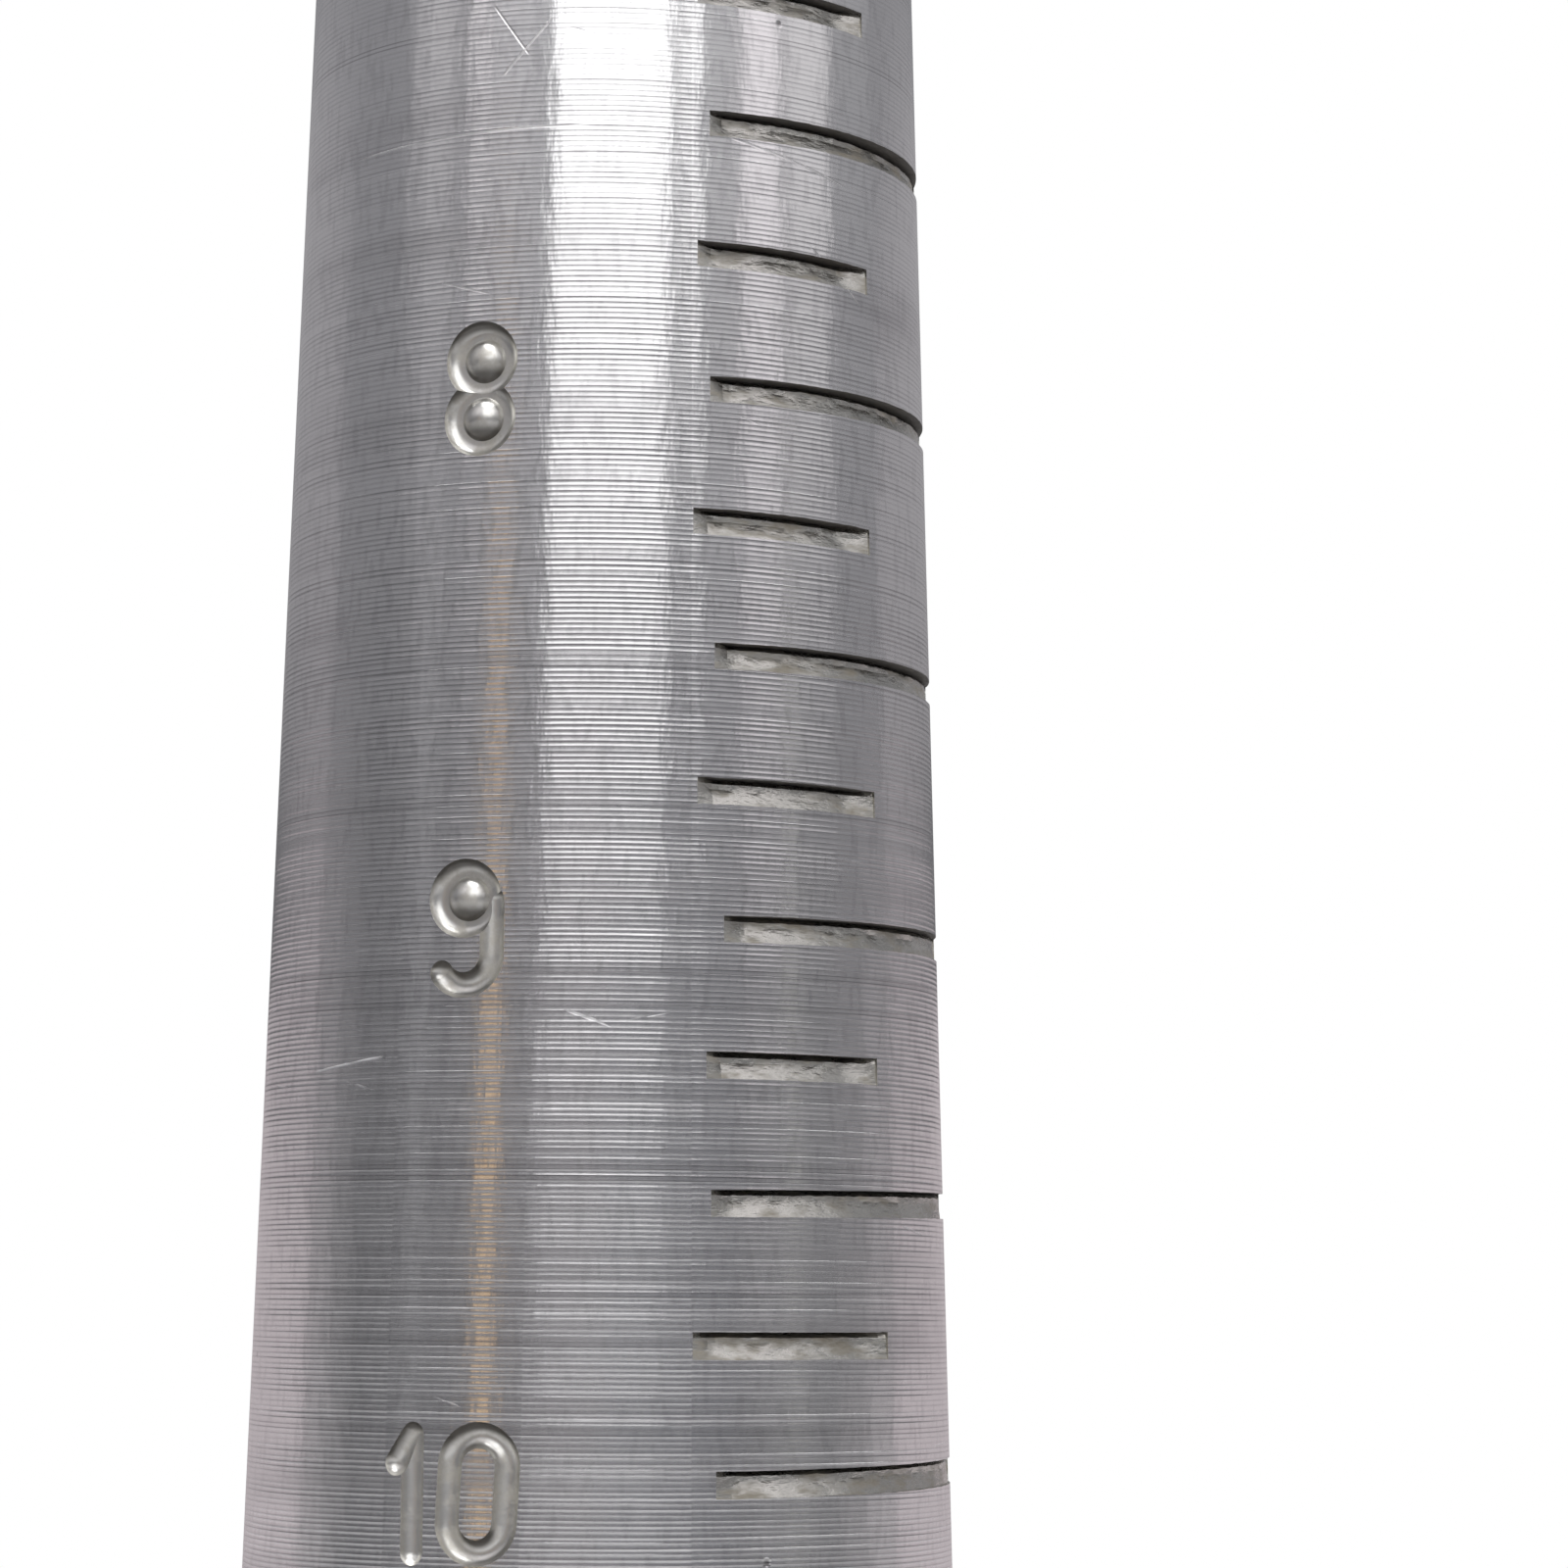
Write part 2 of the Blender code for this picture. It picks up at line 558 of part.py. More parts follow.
def build():
    clear_scene()
    aluminium = material("turned_aluminium", (0.62, 0.61, 0.62), 0.32, 1.0)
    collar_metal = material("collar_aluminium", (0.60, 0.60, 0.61), 0.28, 1.0)
    brass = material("ferrule_brass", (0.70, 0.52, 0.25), 0.30, 1.0)
    pin_brass = material("pin_brass", (0.66, 0.48, 0.22), 0.35, 1.0)
    steel = material("zinc_steel", (0.50, 0.50, 0.49), 0.40, 1.0)
    beech = material("varnished_beech", (0.48, 0.26, 0.12), 0.35, 0.0)
    plug_wood = material("plug_beech", (0.40, 0.21, 0.10), 0.50, 0.0)
    pin_holes = pin_hole_cutters()
    gauge_cone(aluminium)
    stop_collar(collar_metal)
    ferrule(brass, pin_holes)
    ferrule_pins(pin_brass)
    handle(beech, pin_holes)
    handle_stud(steel)
    end_washer(steel)
    lock_washer(steel)
    end_nut(steel)
    end_plug(plug_wood)


build()
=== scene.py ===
import math
import random

import bpy
from mathutils import Matrix, Vector


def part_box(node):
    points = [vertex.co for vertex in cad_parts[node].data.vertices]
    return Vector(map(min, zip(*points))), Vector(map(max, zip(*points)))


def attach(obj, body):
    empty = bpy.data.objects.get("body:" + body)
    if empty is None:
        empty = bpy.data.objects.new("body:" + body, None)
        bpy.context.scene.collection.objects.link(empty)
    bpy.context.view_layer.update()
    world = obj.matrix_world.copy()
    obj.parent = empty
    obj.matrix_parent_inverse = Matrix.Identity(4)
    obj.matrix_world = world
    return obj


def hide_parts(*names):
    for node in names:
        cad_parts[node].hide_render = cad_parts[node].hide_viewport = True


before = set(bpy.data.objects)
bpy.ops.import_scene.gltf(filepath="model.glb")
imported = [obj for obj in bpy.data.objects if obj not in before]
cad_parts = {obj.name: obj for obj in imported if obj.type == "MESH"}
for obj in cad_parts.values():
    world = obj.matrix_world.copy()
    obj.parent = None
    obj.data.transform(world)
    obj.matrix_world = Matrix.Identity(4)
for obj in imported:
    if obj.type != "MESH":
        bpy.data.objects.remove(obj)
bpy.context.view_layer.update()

MM = 0.001
BODY = "root"

# ---- the gauge cone's own sizes ---------------------------------------------------------------------------
FIRST_SIZE = 1
LAST_SIZE = 15
SLOTS_PER_SIZE = 4
SIZE_PITCH = 14.7 * MM
SIZE_0_DIAMETER = 11.63 * MM
DIAMETER_PER_SIZE = 0.8128 * MM
TIP_MARGIN = 7.3 * MM
CONE_EDGE = 0.8 * MM
CENTRE_RADIUS = 2.0 * MM
CENTRE_PILOT_RADIUS = 0.8 * MM
CENTRE_DEPTH = 4.5 * MM
CENTRE_HALF_ANGLE = 30
BORE_RADIUS = 4.3 * MM
TAPPED_HOLE_DEPTH = 26.3 * MM

SLOT_WIDTH = 0.72 * MM
SLOT_DEPTH = 0.35 * MM
SLOT_LEAN = 0.35                    # the floor is shallower than its middle by this share at the lower edge
SLOT_UNDERCUT = 1.9                 # depth under the upper edge, as a multiple of the middle's
SLOT_ROUGHNESS = 0.06               # share by which the depth wanders
SLOT_WAVER = 0.012 * MM             # by which its edges wander up and down
SLOT_MISPLACED = 0.06 * MM          # most that a whole slot is out of its height
SLOT_START_MISS = 1.2               # most that a slot starts too soon or too late, in degrees
SLOT_END_MISS = 1.5
SLOT_PROUD = 0.6 * MM               # by which the cutter stands out of the face
SLOT_RUN_IN = 5.0                   # degrees over which the cutter sinks in
SLOT_START_SHARE = 0.12             # of the run-in already sunk at the slot's very start
SLOT_END_SHARE = 0.25               # of the run-out left at the slot's very end
SHORT_SLOT_RUN_OUT = 9.0
LONG_SLOT_CLIMB = 0.32 * MM         # most that a long slot rises over a quarter turn
LONG_SLOT_RUN_OUT = 42.0
SHORT_SLOT_ARC = (15.5, 51.7)       # degrees round from the front
LONG_SLOT_ARC = (18.5, 93.0)
NUMERAL_ANGLE = -23.2
NUMERAL_HEIGHT = 3.75 * MM
NUMERAL_WIDTH = 2.3 * MM
NUMERAL_ONE_WIDTH = 1.22 * MM
NUMERAL_GAP = 0.36 * MM
STROKE_WIDTH = 0.70 * MM
STROKE_DEPTH = 0.29 * MM
COUNTER_DOME_RADIUS = 0.67 * MM
COUNTER_DOME_DEPTH = 0.58 * MM      # of the dome's centre below the gauge face
LOBE_RADIUS = 1.07 * MM             # of the round halves of an eight, and of a six's and a nine's bowl
LOBE_RISE = 0.80 * MM
RUN_END_SHARE = 0.99                # the round end of a stroke, as a share of its own width
SAWN = 1                            # places in the cone's list of finishes; 0 is the turned face
PUNCHED = 2
PUNCH_SLIPS = {                     # of a size's figures, across and up
    3: (0.10 * MM, 0.15 * MM),
    8: (0.08 * MM, -0.11 * MM),
    10: (-0.06 * MM, -0.27 * MM),
    13: (0.10 * MM, 0.20 * MM),
}
FEED_PITCH = 0.1445 * MM            # advance of the lathe tool per turn

# ---- collar, ferrule, pins and handle ---------------------------------------------------------------------
SEAT_GAP = 0.3 * MM
COLLAR_EDGE = 0.7 * MM
COLLAR_FLAT = 1.2 * MM              # flat part of the top, inside the rounded edge
COLLAR_GROOVE = 0.18 * MM
COLLAR_GROOVE_GAP = 1.3 * MM
FERRULE_WALL = 1.3 * MM
FERRULE_EDGE = 0.35 * MM
FERRULE_GROOVE = 0.12 * MM
FERRULE_GROOVE_DROP = 2.2 * MM
FERRULE_GROOVE_GAP = 0.8 * MM
PIN_RADIUS = 0.8 * MM
PIN_CLEARANCE = 0.3 * MM
PIN_HOLE_DEPTH = 6.3 * MM
PIN_LENGTH = 6.0 * MM
PIN_HEAD_RADIUS = 1.6 * MM
PIN_HEAD_HEIGHT = 0.8 * MM
PIN_HEAD_GAP = 0.15 * MM
PIN_ANGLES = (60.0, 240.0)
HAMMER_DEPTH = 0.03 * MM
NECK_CLEARANCE = 0.3 * MM
BEAD_STAND = 1.0 * MM
BEAD_LENGTH = 3.4 * MM
UPPER_WAIST_RADIUS = 11.3 * MM
UPPER_WAIST_DROP = 9.5 * MM
BELLY_RADIUS = 15.5 * MM
LOWER_WAIST_RADIUS = 13.5 * MM
LOWER_WAIST_HEIGHT = 17.0 * MM
BUTT_HEIGHT = 6.5 * MM
BUTT_ROUND = 2.2 * MM
RING_GAP = 2.6 * MM                 # between the scribed rings round the belly
RING_DEPTH = 0.35 * MM
RING_REACH = 0.45 * MM              # a point of the outline this near a ring becomes the ring
RING_CLEARANCE = 0.6 * MM           # and one this near is left out
OUTLINE_STEP = 0.9 * MM
NECK_CHAMFER = 0.5 * MM
SOCKET_CHAMFER = 0.3 * MM
PLUG_CLEARANCE = 0.3 * MM
PLUG_EDGE = 0.5 * MM
PLUG_FACE_RISE = 0.05 * MM          # of the plug's face, part of the way to its middle
PLUG_DISH = 0.12 * MM
DENTS = 46
DENTED_FROM_RADIUS = 11.0 * MM      # the neck and the hole stay true

# ---- smoothness -------------------------------------------------------------------------------------------
CONE_SIDES = 480
TURNED_SIDES = 160
SMOOTH_ANGLE = 14                   # degrees; a sharper bend stays a crisp edge
TURNED_SMOOTH_ANGLE = 30
MERGE_DISTANCE = 0.002 * MM

cone_low, cone_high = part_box("gauge_cone")
CONE_BOTTOM = cone_low.z
CONE_TOP = cone_high.z
FIRST_SLOT_HEIGHT = CONE_TOP - TIP_MARGIN


def size_height(size):
    return FIRST_SLOT_HEIGHT - (size - FIRST_SIZE) * SIZE_PITCH


def cone_radius(height):
    size = FIRST_SIZE + (FIRST_SLOT_HEIGHT - height) / SIZE_PITCH
    return (SIZE_0_DIAMETER + DIAMETER_PER_SIZE * size) / 2


def on_cone(degrees, height, proud=0.0):
    """Point on the gauge face; degrees run round from the front, to the right."""
    angle = math.radians(degrees)
    radius = cone_radius(height) + proud
    return Vector((radius * math.sin(angle), -radius * math.cos(angle), height))


# ---- modelling by hand ------------------------------------------------------------------------------------
def start_clean():
    if bpy.context.object and bpy.context.object.mode != "OBJECT":
        bpy.ops.object.mode_set(mode="OBJECT")
    bpy.ops.object.select_all(action="DESELECT")


def pick(*pieces):
    start_clean()
    for piece in pieces:
        piece.select_set(True)
    bpy.context.view_layer.objects.active = pieces[0]


def settle(piece, name):
    """Names a piece and moves its place into its mesh."""
    piece.name = name
    piece.data.name = name
    pick(piece)
    bpy.ops.object.transform_apply(location=True, rotation=True, scale=True)
    return piece


def turned(name, outline, sides, closed=False):
    """Draws the outline, (radius, height) by (radius, height), and spins it round the axis."""
    start_clean()
    radius, height = outline[0]
    bpy.ops.mesh.primitive_plane_add(size=MM, location=(radius, 0.0, height))
    piece = settle(bpy.context.object, name)
    bpy.ops.object.mode_set(mode="EDIT")
    bpy.ops.mesh.select_all(action="SELECT")
    bpy.ops.mesh.merge(type="CENTER")
    route = list(outline) + ([outline[0]] if closed else [])
    for (radius, height), (next_radius, next_height) in zip(route, route[1:]):
        step = (next_radius - radius, 0.0, next_height - height)
        bpy.ops.mesh.extrude_vertices_move(TRANSFORM_OT_translate={"value": step})
    bpy.ops.mesh.select_all(action="SELECT")
    bpy.ops.mesh.spin(steps=sides, angle=2 * math.pi, center=(0, 0, 0), axis=(0, 0, 1))
    bpy.ops.mesh.select_all(action="SELECT")
    bpy.ops.mesh.remove_doubles(threshold=MERGE_DISTANCE)
    bpy.ops.mesh.normals_make_consistent(inside=False)
    bpy.ops.object.mode_set(mode="OBJECT")
    return piece


def tidy_mesh(piece):
    """Merges doubles, drops slivers and turns every face outwards."""
    pick(piece)
    bpy.ops.object.mode_set(mode="EDIT")
    bpy.ops.mesh.select_all(action="SELECT")
    bpy.ops.mesh.remove_doubles(threshold=MERGE_DISTANCE)
    bpy.ops.mesh.dissolve_degenerate(threshold=MERGE_DISTANCE)
    bpy.ops.mesh.normals_make_consistent(inside=False)
    bpy.ops.object.mode_set(mode="OBJECT")


def cut(piece, cutter, material_place, operation="DIFFERENCE"):
    """Boolean with the cutter, applied; the new faces take the finish in that place of the piece's list."""
    cutter.data.materials.clear()
    for material in piece.data.materials:
        cutter.data.materials.append(material)
    for polygon in cutter.data.polygons:
        polygon.material_index = material_place
    pick(piece)
    boolean = piece.modifiers.new("cut", "BOOLEAN")
    boolean.solver = "MANIFOLD"
    boolean.operation = operation
    boolean.object = cutter
    bpy.ops.object.modifier_apply(modifier=boolean.name)
    bpy.data.objects.remove(cutter, do_unlink=True)


def join(pieces, name):
    pick(*pieces)
    bpy.ops.object.join()
    joined = bpy.context.object
    joined.name = name
    return joined


def shade(piece, degrees=SMOOTH_ANGLE):
    pick(piece)
    bpy.ops.object.shade_smooth_by_angle(angle=math.radians(degrees))


def oval(centre, wide, high, first, last, steps):
    """Points round part of an oval; angles in degrees from straight out, turning up."""
    points = []
    for index in range(steps + 1):
        angle = math.radians(first + (last - first) * index / steps)
        points.append((centre[0] + wide * math.cos(angle), centre[1] + high * math.sin(angle)))
    return points


def arc(centre, radius, first, last, steps):
    return oval(centre, radius, radius, first, last, steps)


def finish_piece(piece, node, slot, *materials):
    """Gives a piece its finish and lets it stand for its CAD node."""
    for place, material in enumerate(materials):
        if place < len(piece.data.materials):
            piece.data.materials[place] = material
        else:
            piece.data.materials.append(material)
    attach(piece, BODY)
    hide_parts(node)


# ---- node helpers -----------------------------------------------------------------------------------------
class Graph:
    """Short-hand for wiring the nodes of one material or group."""

    def __init__(self, tree):
        self.tree = tree

    def feed(self, socket, value):
        if isinstance(value, bpy.types.NodeSocket):
            self.tree.links.new(value, socket)
        else:
            socket.default_value = value

    def add(self, kind, settings=None, **inputs):
        node = self.tree.nodes.new(kind)
        for key, value in (settings or {}).items():
            setattr(node, key, value)
        for key, value in inputs.items():
            self.feed(node.inputs[key.replace("_", " ")], value)
        return node

    def operate(self, kind, operation, values):
        node = self.add(kind, {"operation": operation})
        for place, value in enumerate(values):
            self.feed(node.inputs[place], value)
        return node.outputs

    def math(self, operation, *values):
        return self.operate("ShaderNodeMath", operation, values)[0]

    def times(self, first, second):
        return self.math("MULTIPLY", first, second)

    def plus(self, first, second):
        return self.math("ADD", first, second)

    def minus(self, first, second):
        return self.math("SUBTRACT", first, second)

    def largest(self, values):
        """The greatest of some masks; 0 when there are none."""
        best = 0.0
        for value in values:
            best = self.math("MAXIMUM", best, value)
        return best

    def total(self, *weighed):
        """Sum of (value, weight) pairs."""
        whole = 0.0
        for value, weight in weighed:
            whole = self.plus(whole, self.times(value, weight))
        return whole

    def parts(self, vector):
        """X, Y and Z of a vector."""
        return self.add("ShaderNodeSeparateXYZ", Vector=vector).outputs

    def stretch(self, value, low, high, to_low=0.0, to_high=1.0):
        """Maps low..high smoothly on to to_low..to_high."""
        node = self.add("ShaderNodeMapRange", {"interpolation_type": "SMOOTHSTEP"})
        for place, number in enumerate((value, low, high, to_low, to_high)):
            self.feed(node.inputs[place], number)
        return node.outputs[0]

    def mix(self, share, first, second):
        """Blend of two colours, each a socket or plain red, green and blue."""
        node = self.add("ShaderNodeMix", {"data_type": "RGBA"})
        self.feed(node.inputs[0], share)
        for place, colour in ((6, first), (7, second)):
            self.feed(node.inputs[place], (*colour, 1.0) if isinstance(colour, tuple) else colour)
        return node.outputs[2]

    def stain(self, base, colour, mask, strength):
        """Lays a colour over another where the mask says."""
        return self.mix(self.times(mask, strength), base, colour)

    def noise(self, vector, scale, detail=3.0, roughness=0.5):
        """Noise; its scale is a number, or one number for each direction."""
        if isinstance(scale, tuple):
            vector = self.operate("ShaderNodeVectorMath", "MULTIPLY", (vector, scale))[0]
            scale = 1.0
        noise = self.add("ShaderNodeTexNoise", Vector=vector, Scale=scale, Detail=detail, Roughness=roughness)
        return noise.outputs["Fac"]

    def random(self, number):
        """A steady random value for each number."""
        noise = self.add("ShaderNodeTexWhiteNoise", {"noise_dimensions": "1D"}, W=number)
        return noise.outputs["Value"]

    def emboss(self, shader, height):
        """Gives the shader's face a relief, in metres."""
        bump = self.add("ShaderNodeBump", Height=height, Strength=1.0, Distance=1.0)
        self.feed(shader.inputs["Normal"], bump.outputs[0])


def new_group(name, inputs, outputs):
    """Shader group with a Vector and float inputs; returns its Graph, inputs and the sockets to feed."""
    tree = bpy.data.node_groups.new(name, "ShaderNodeTree")
    tree.interface.new_socket(name="Vector", in_out="INPUT", socket_type="NodeSocketVector")
    for label, value in inputs.items():
        socket = tree.interface.new_socket(name=label, in_out="INPUT", socket_type="NodeSocketFloat")
        socket.default_value = value
    for label in outputs:
        tree.interface.new_socket(name=label, in_out="OUTPUT", socket_type="NodeSocketFloat")
    entry = tree.nodes.new("NodeGroupInput")
    leave = tree.nodes.new("NodeGroupOutput")
    return Graph(tree), entry.outputs, leave.inputs


def use_group(graph, tree, **inputs):
    return graph.add("ShaderNodeGroup", {"node_tree": tree}, **inputs).outputs


def angle_round(graph, xyz):
    """Angle round Z from the front, growing to the right."""
    return graph.math("ARCTAN2", xyz["X"], graph.times(xyz["Y"], -1.0))


def lathe_lines_group():
    """Fine helical scallops left by a lathe tool about Z; Line marks the ridge of each turn."""
    inputs = {"Pitch": FEED_PITCH, "Unevenness": 0.5}
    graph, given, out = new_group("lathe_lines", inputs, ("Height", "Line", "Deep"))
    where = given["Vector"]
    xyz = graph.parts(where)
    turn = graph.math("DIVIDE", angle_round(graph, xyz), 2 * math.pi)
    wander = graph.noise(where, (30.0, 30.0, 900.0), 2.0)
    count = graph.plus(graph.math("DIVIDE", xyz["Z"], given["Pitch"]), turn)
    count = graph.plus(count, graph.times(wander, 0.5))
    across = graph.minus(graph.math("FRACT", count), 0.5)
    scallop = graph.times(graph.times(across, across), 4.0)
    level = graph.random(graph.math("FLOOR", count))
    depth = graph.minus(1.0, graph.times(level, given["Unevenness"]))
    broken = graph.stretch(graph.noise(where, (700.0, 700.0, 5000.0), 3.0, 0.6), 0.12, 0.5)
    line = graph.times(graph.stretch(scallop, 0.10, 0.62), graph.plus(depth, -0.05))
    deepest = graph.stretch(level, 0.955, 0.97)
    graph.feed(out["Height"], graph.times(scallop, depth))
    graph.feed(out["Line"], graph.times(line, broken))
    graph.feed(out["Deep"], graph.times(graph.stretch(scallop, 0.1, 0.7), deepest))
    return graph.tree


def wear_group():
    """Handling marks: rubbed rings, lengthwise chatter, fine scratches and small nicks."""
    graph, given, out = new_group("handling_wear", {}, ("Rub", "Chatter", "Scratch", "Nick"))
    where = given["Vector"]
    rings = graph.noise(where, (25.0, 25.0, 420.0), 4.0, 0.6)
    cloud = graph.noise(where, 90.0, 4.0, 0.6)
    strands = []
    for lean, squeeze in ((0.18, (120.0, 120.0, 5200.0)), (-0.32, (170.0, 170.0, 4300.0))):
        leaning = graph.add("ShaderNodeVectorRotate", {"rotation_type": "Y_AXIS"}, Vector=where, Angle=lean)
        strands.append(graph.stretch(graph.noise(leaning.outputs[0], squeeze, 1.0), 0.785, 0.81))
    cells = graph.add("ShaderNodeTexVoronoi", {"feature": "F1"}, Vector=where, Scale=420.0)
    rare = graph.add("ShaderNodeSeparateColor", Color=cells.outputs["Color"]).outputs[0]
    spot = graph.stretch(cells.outputs["Distance"], 0.07, 0.03)
    graph.feed(out["Rub"], graph.times(graph.stretch(rings, 0.5, 0.75), graph.stretch(cloud, 0.35, 0.65)))
    graph.feed(out["Chatter"], graph.noise(where, (3900.0, 3900.0, 1100.0), 2.0))
    graph.feed(out["Scratch"], graph.largest(strands))
    graph.feed(out["Nick"], graph.times(spot, graph.stretch(rare, 0.8, 0.83)))
    return graph.tree


def gouge_group():
    """One straight scratch on a round face about Z: middle, half length, half width and lean."""
    inputs = {"Angle": 0.0, "Height": 0.0, "Radius": 0.01, "Reach": 0.001, "Width": 0.00005, "Lean": 0.0}
    graph, given, out = new_group("gouge", inputs, ("Mask",))
    xyz = graph.parts(given["Vector"])
    along = graph.times(graph.minus(angle_round(graph, xyz), given["Angle"]), given["Radius"])
    up = graph.minus(xyz["Z"], given["Height"])
    cosine = graph.math("COSINE", given["Lean"])
    sine = graph.math("SINE", given["Lean"])
    length = graph.plus(graph.times(along, cosine), graph.times(up, sine))
    across = graph.minus(graph.times(up, cosine), graph.times(along, sine))
    near = graph.stretch(graph.math("ABSOLUTE", across), given["Width"], 0.0)
    within = graph.stretch(graph.math("ABSOLUTE", length), given["Reach"], graph.times(given["Reach"], 0.6))
    graph.feed(out["Mask"], graph.times(near, within))
    return graph.tree


# ---- finishes ---------------------------------------------------------------------------------------------
LINE_UNEVENNESS = 0.75              # of the depth, from one turn of the lathe to the next
LINE_STAIN = 0.42                   # strength of the stain along a lathe line
BRIGHT_LINES = 1.5                  # strength of the lines on the thick end of the gauge
POLISHED_LINES = 0.65               # and on the thin end, which rings have polished
POLISH_BETWEEN = (9.4, 7.2)         # sizes
CHATTER_HEIGHT = 0.007 * MM
WAVE_HEIGHT = 0.016 * MM
SCRATCH_DEPTH = 0.002 * MM
GOUGE_DEPTH = 0.010 * MM
GOUGE_WIDTH = 0.045 * MM
NICK_DEPTH = 0.02 * MM
PAINTED_SHADOW_BLACK = (0.045, 0.038, 0.034)
GROWTH_RING = 1.9 * MM

FACE_SCRATCHES = [                  # size, mm above its slot, degrees round, half length in mm, lean
    (8, 9.9, -18.6, 1.0, -0.95),
    (8, 9.4, -15.6, 1.1, 0.85),
    (8, 7.05, -30.0, 4.2, 0.03),
    (8, 6.6, 34.0, 2.2, -0.20),
    (9, -3.6, -46.0, 1.6, 0.12),
    (8, 3.6, 44.0, 1.3, -0.6),
    (6, 2.0, -12.0, 2.4, 0.5),
    (4, -5.0, 30.0, 3.0, -0.4),
    (12, 4.0, -8.0, 2.8, 0.6),
    (13, -3.0, 64.0, 3.2, 0.35),
    (5, 1.0, 150.0, 4.0, 0.5),
    (11, 6.0, -140.0, 3.5, -0.45),
    (14, 2.0, 175.0, 4.5, 0.3),
]


def plain_material(name):
    material = bpy.data.materials.new(name)
    material.use_nodes = True
    graph = Graph(material.node_tree)
    shader = material.node_tree.nodes["Principled BSDF"]
    where = graph.add("ShaderNodeTexCoord").outputs["Object"]
    return material, graph, shader, where


def face_scratches(graph, where, gouge):
    """Mask of the few deep scratches of the gauge face."""
    masks = []
    for size, rise, degrees, reach, lean in FACE_SCRATCHES:
        height = size_height(size) + rise * MM
        marks = use_group(graph, gouge, Vector=where, Angle=math.radians(degrees), Height=height,
                          Radius=cone_radius(height), Reach=reach * MM, Width=GOUGE_WIDTH, Lean=lean)
        masks.append(marks["Mask"])
    return graph.largest(masks)


def turned_metal(name, colour, stain, roughness, line_height, pitch, groups, is_gauge=False):
    """Metal with the lathe's feed lines, dulled and marked by handling; the gauge also by its rings."""
    lathe_lines, wear, gouge = groups
    material, graph, shader, where = plain_material(name)
    lines = use_group(graph, lathe_lines, Vector=where, Pitch=pitch, Unevenness=LINE_UNEVENNESS)
    marks = use_group(graph, wear, Vector=where)
    share = 1.0
    gouged = 0.0
    if is_gauge:
        ends = [size_height(size) for size in POLISH_BETWEEN]
        share = graph.stretch(graph.parts(where)["Z"], *ends, BRIGHT_LINES, POLISHED_LINES)
        gouged = face_scratches(graph, where, gouge)
    base = graph.stain(colour, stain, marks["Rub"], 0.45)
    base = graph.stain(base, stain, graph.times(lines["Line"], share), LINE_STAIN)
    base = graph.stain(base, stain, graph.stretch(marks["Chatter"], 0.5, 0.66), 0.14)
    base = graph.stain(base, (0.16, 0.15, 0.16), lines["Deep"], 0.5)
    base = graph.stain(base, (0.93, 0.92, 0.92), gouged, 0.4)
    base = graph.stain(base, (0.10, 0.09, 0.09), marks["Nick"], 0.75)
    uneven = graph.total((marks["Rub"], 0.10), (marks["Scratch"], 0.15), (gouged, 0.2))
    wave = graph.noise(where, (800.0, 800.0, 330.0), 2.0)
    tangent = graph.add("ShaderNodeTangent", {"direction_type": "RADIAL", "axis": "Z"})
    graph.feed(shader.inputs["Base Color"], base)
    graph.feed(shader.inputs["Roughness"], graph.plus(uneven, roughness))
    graph.feed(shader.inputs["Tangent"], tangent.outputs[0])
    shader.inputs["Metallic"].default_value = 1.0
    shader.inputs["Anisotropic"].default_value = 0.45
    shader.inputs["Anisotropic Rotation"].default_value = 0.25
    graph.emboss(shader, graph.total(
        (graph.times(lines["Height"], line_height), share),
        (marks["Chatter"], CHATTER_HEIGHT),
        (wave, WAVE_HEIGHT),
        (marks["Scratch"], -SCRATCH_DEPTH),
        (gouged, -GOUGE_DEPTH),
        (marks["Nick"], -NICK_DEPTH)))
    return material


def downward(graph):
    """Mask of faces that look down, which get shade painted on to them."""
    normal = graph.add("ShaderNodeTexCoord").outputs["Normal"]
    return graph.stretch(graph.parts(normal)["Z"], -0.04, -0.58)


def cut_metal(name, colour, grime, roughness, coarse, dirty, painted_under_shade):
    """Rough cut or pressed metal with dirt left in it, and shade painted on the faces that look down."""
    material, graph, shader, where = plain_material(name)
    patch = graph.noise(where, 1500.0, 4.0, 0.65)
    fine = graph.noise(where, 9000.0, 3.0, 0.6)
    dirt = graph.times(graph.stretch(patch, 0.42, 0.68), dirty)
    # painted shade: faces that look down are blended towards near black
    base = graph.stain(graph.mix(dirt, colour, grime), (0.06, 0.055, 0.05), downward(graph), painted_under_shade)
    graph.feed(shader.inputs["Base Color"], base)
    graph.feed(shader.inputs["Roughness"], graph.plus(graph.times(dirt, 0.25), roughness))
    graph.feed(shader.inputs["Metallic"], graph.stretch(dirt, 0.0, 1.0, 1.0, 0.35))
    graph.emboss(shader, graph.total((patch, coarse), (fine, coarse * 0.25)))
    return material


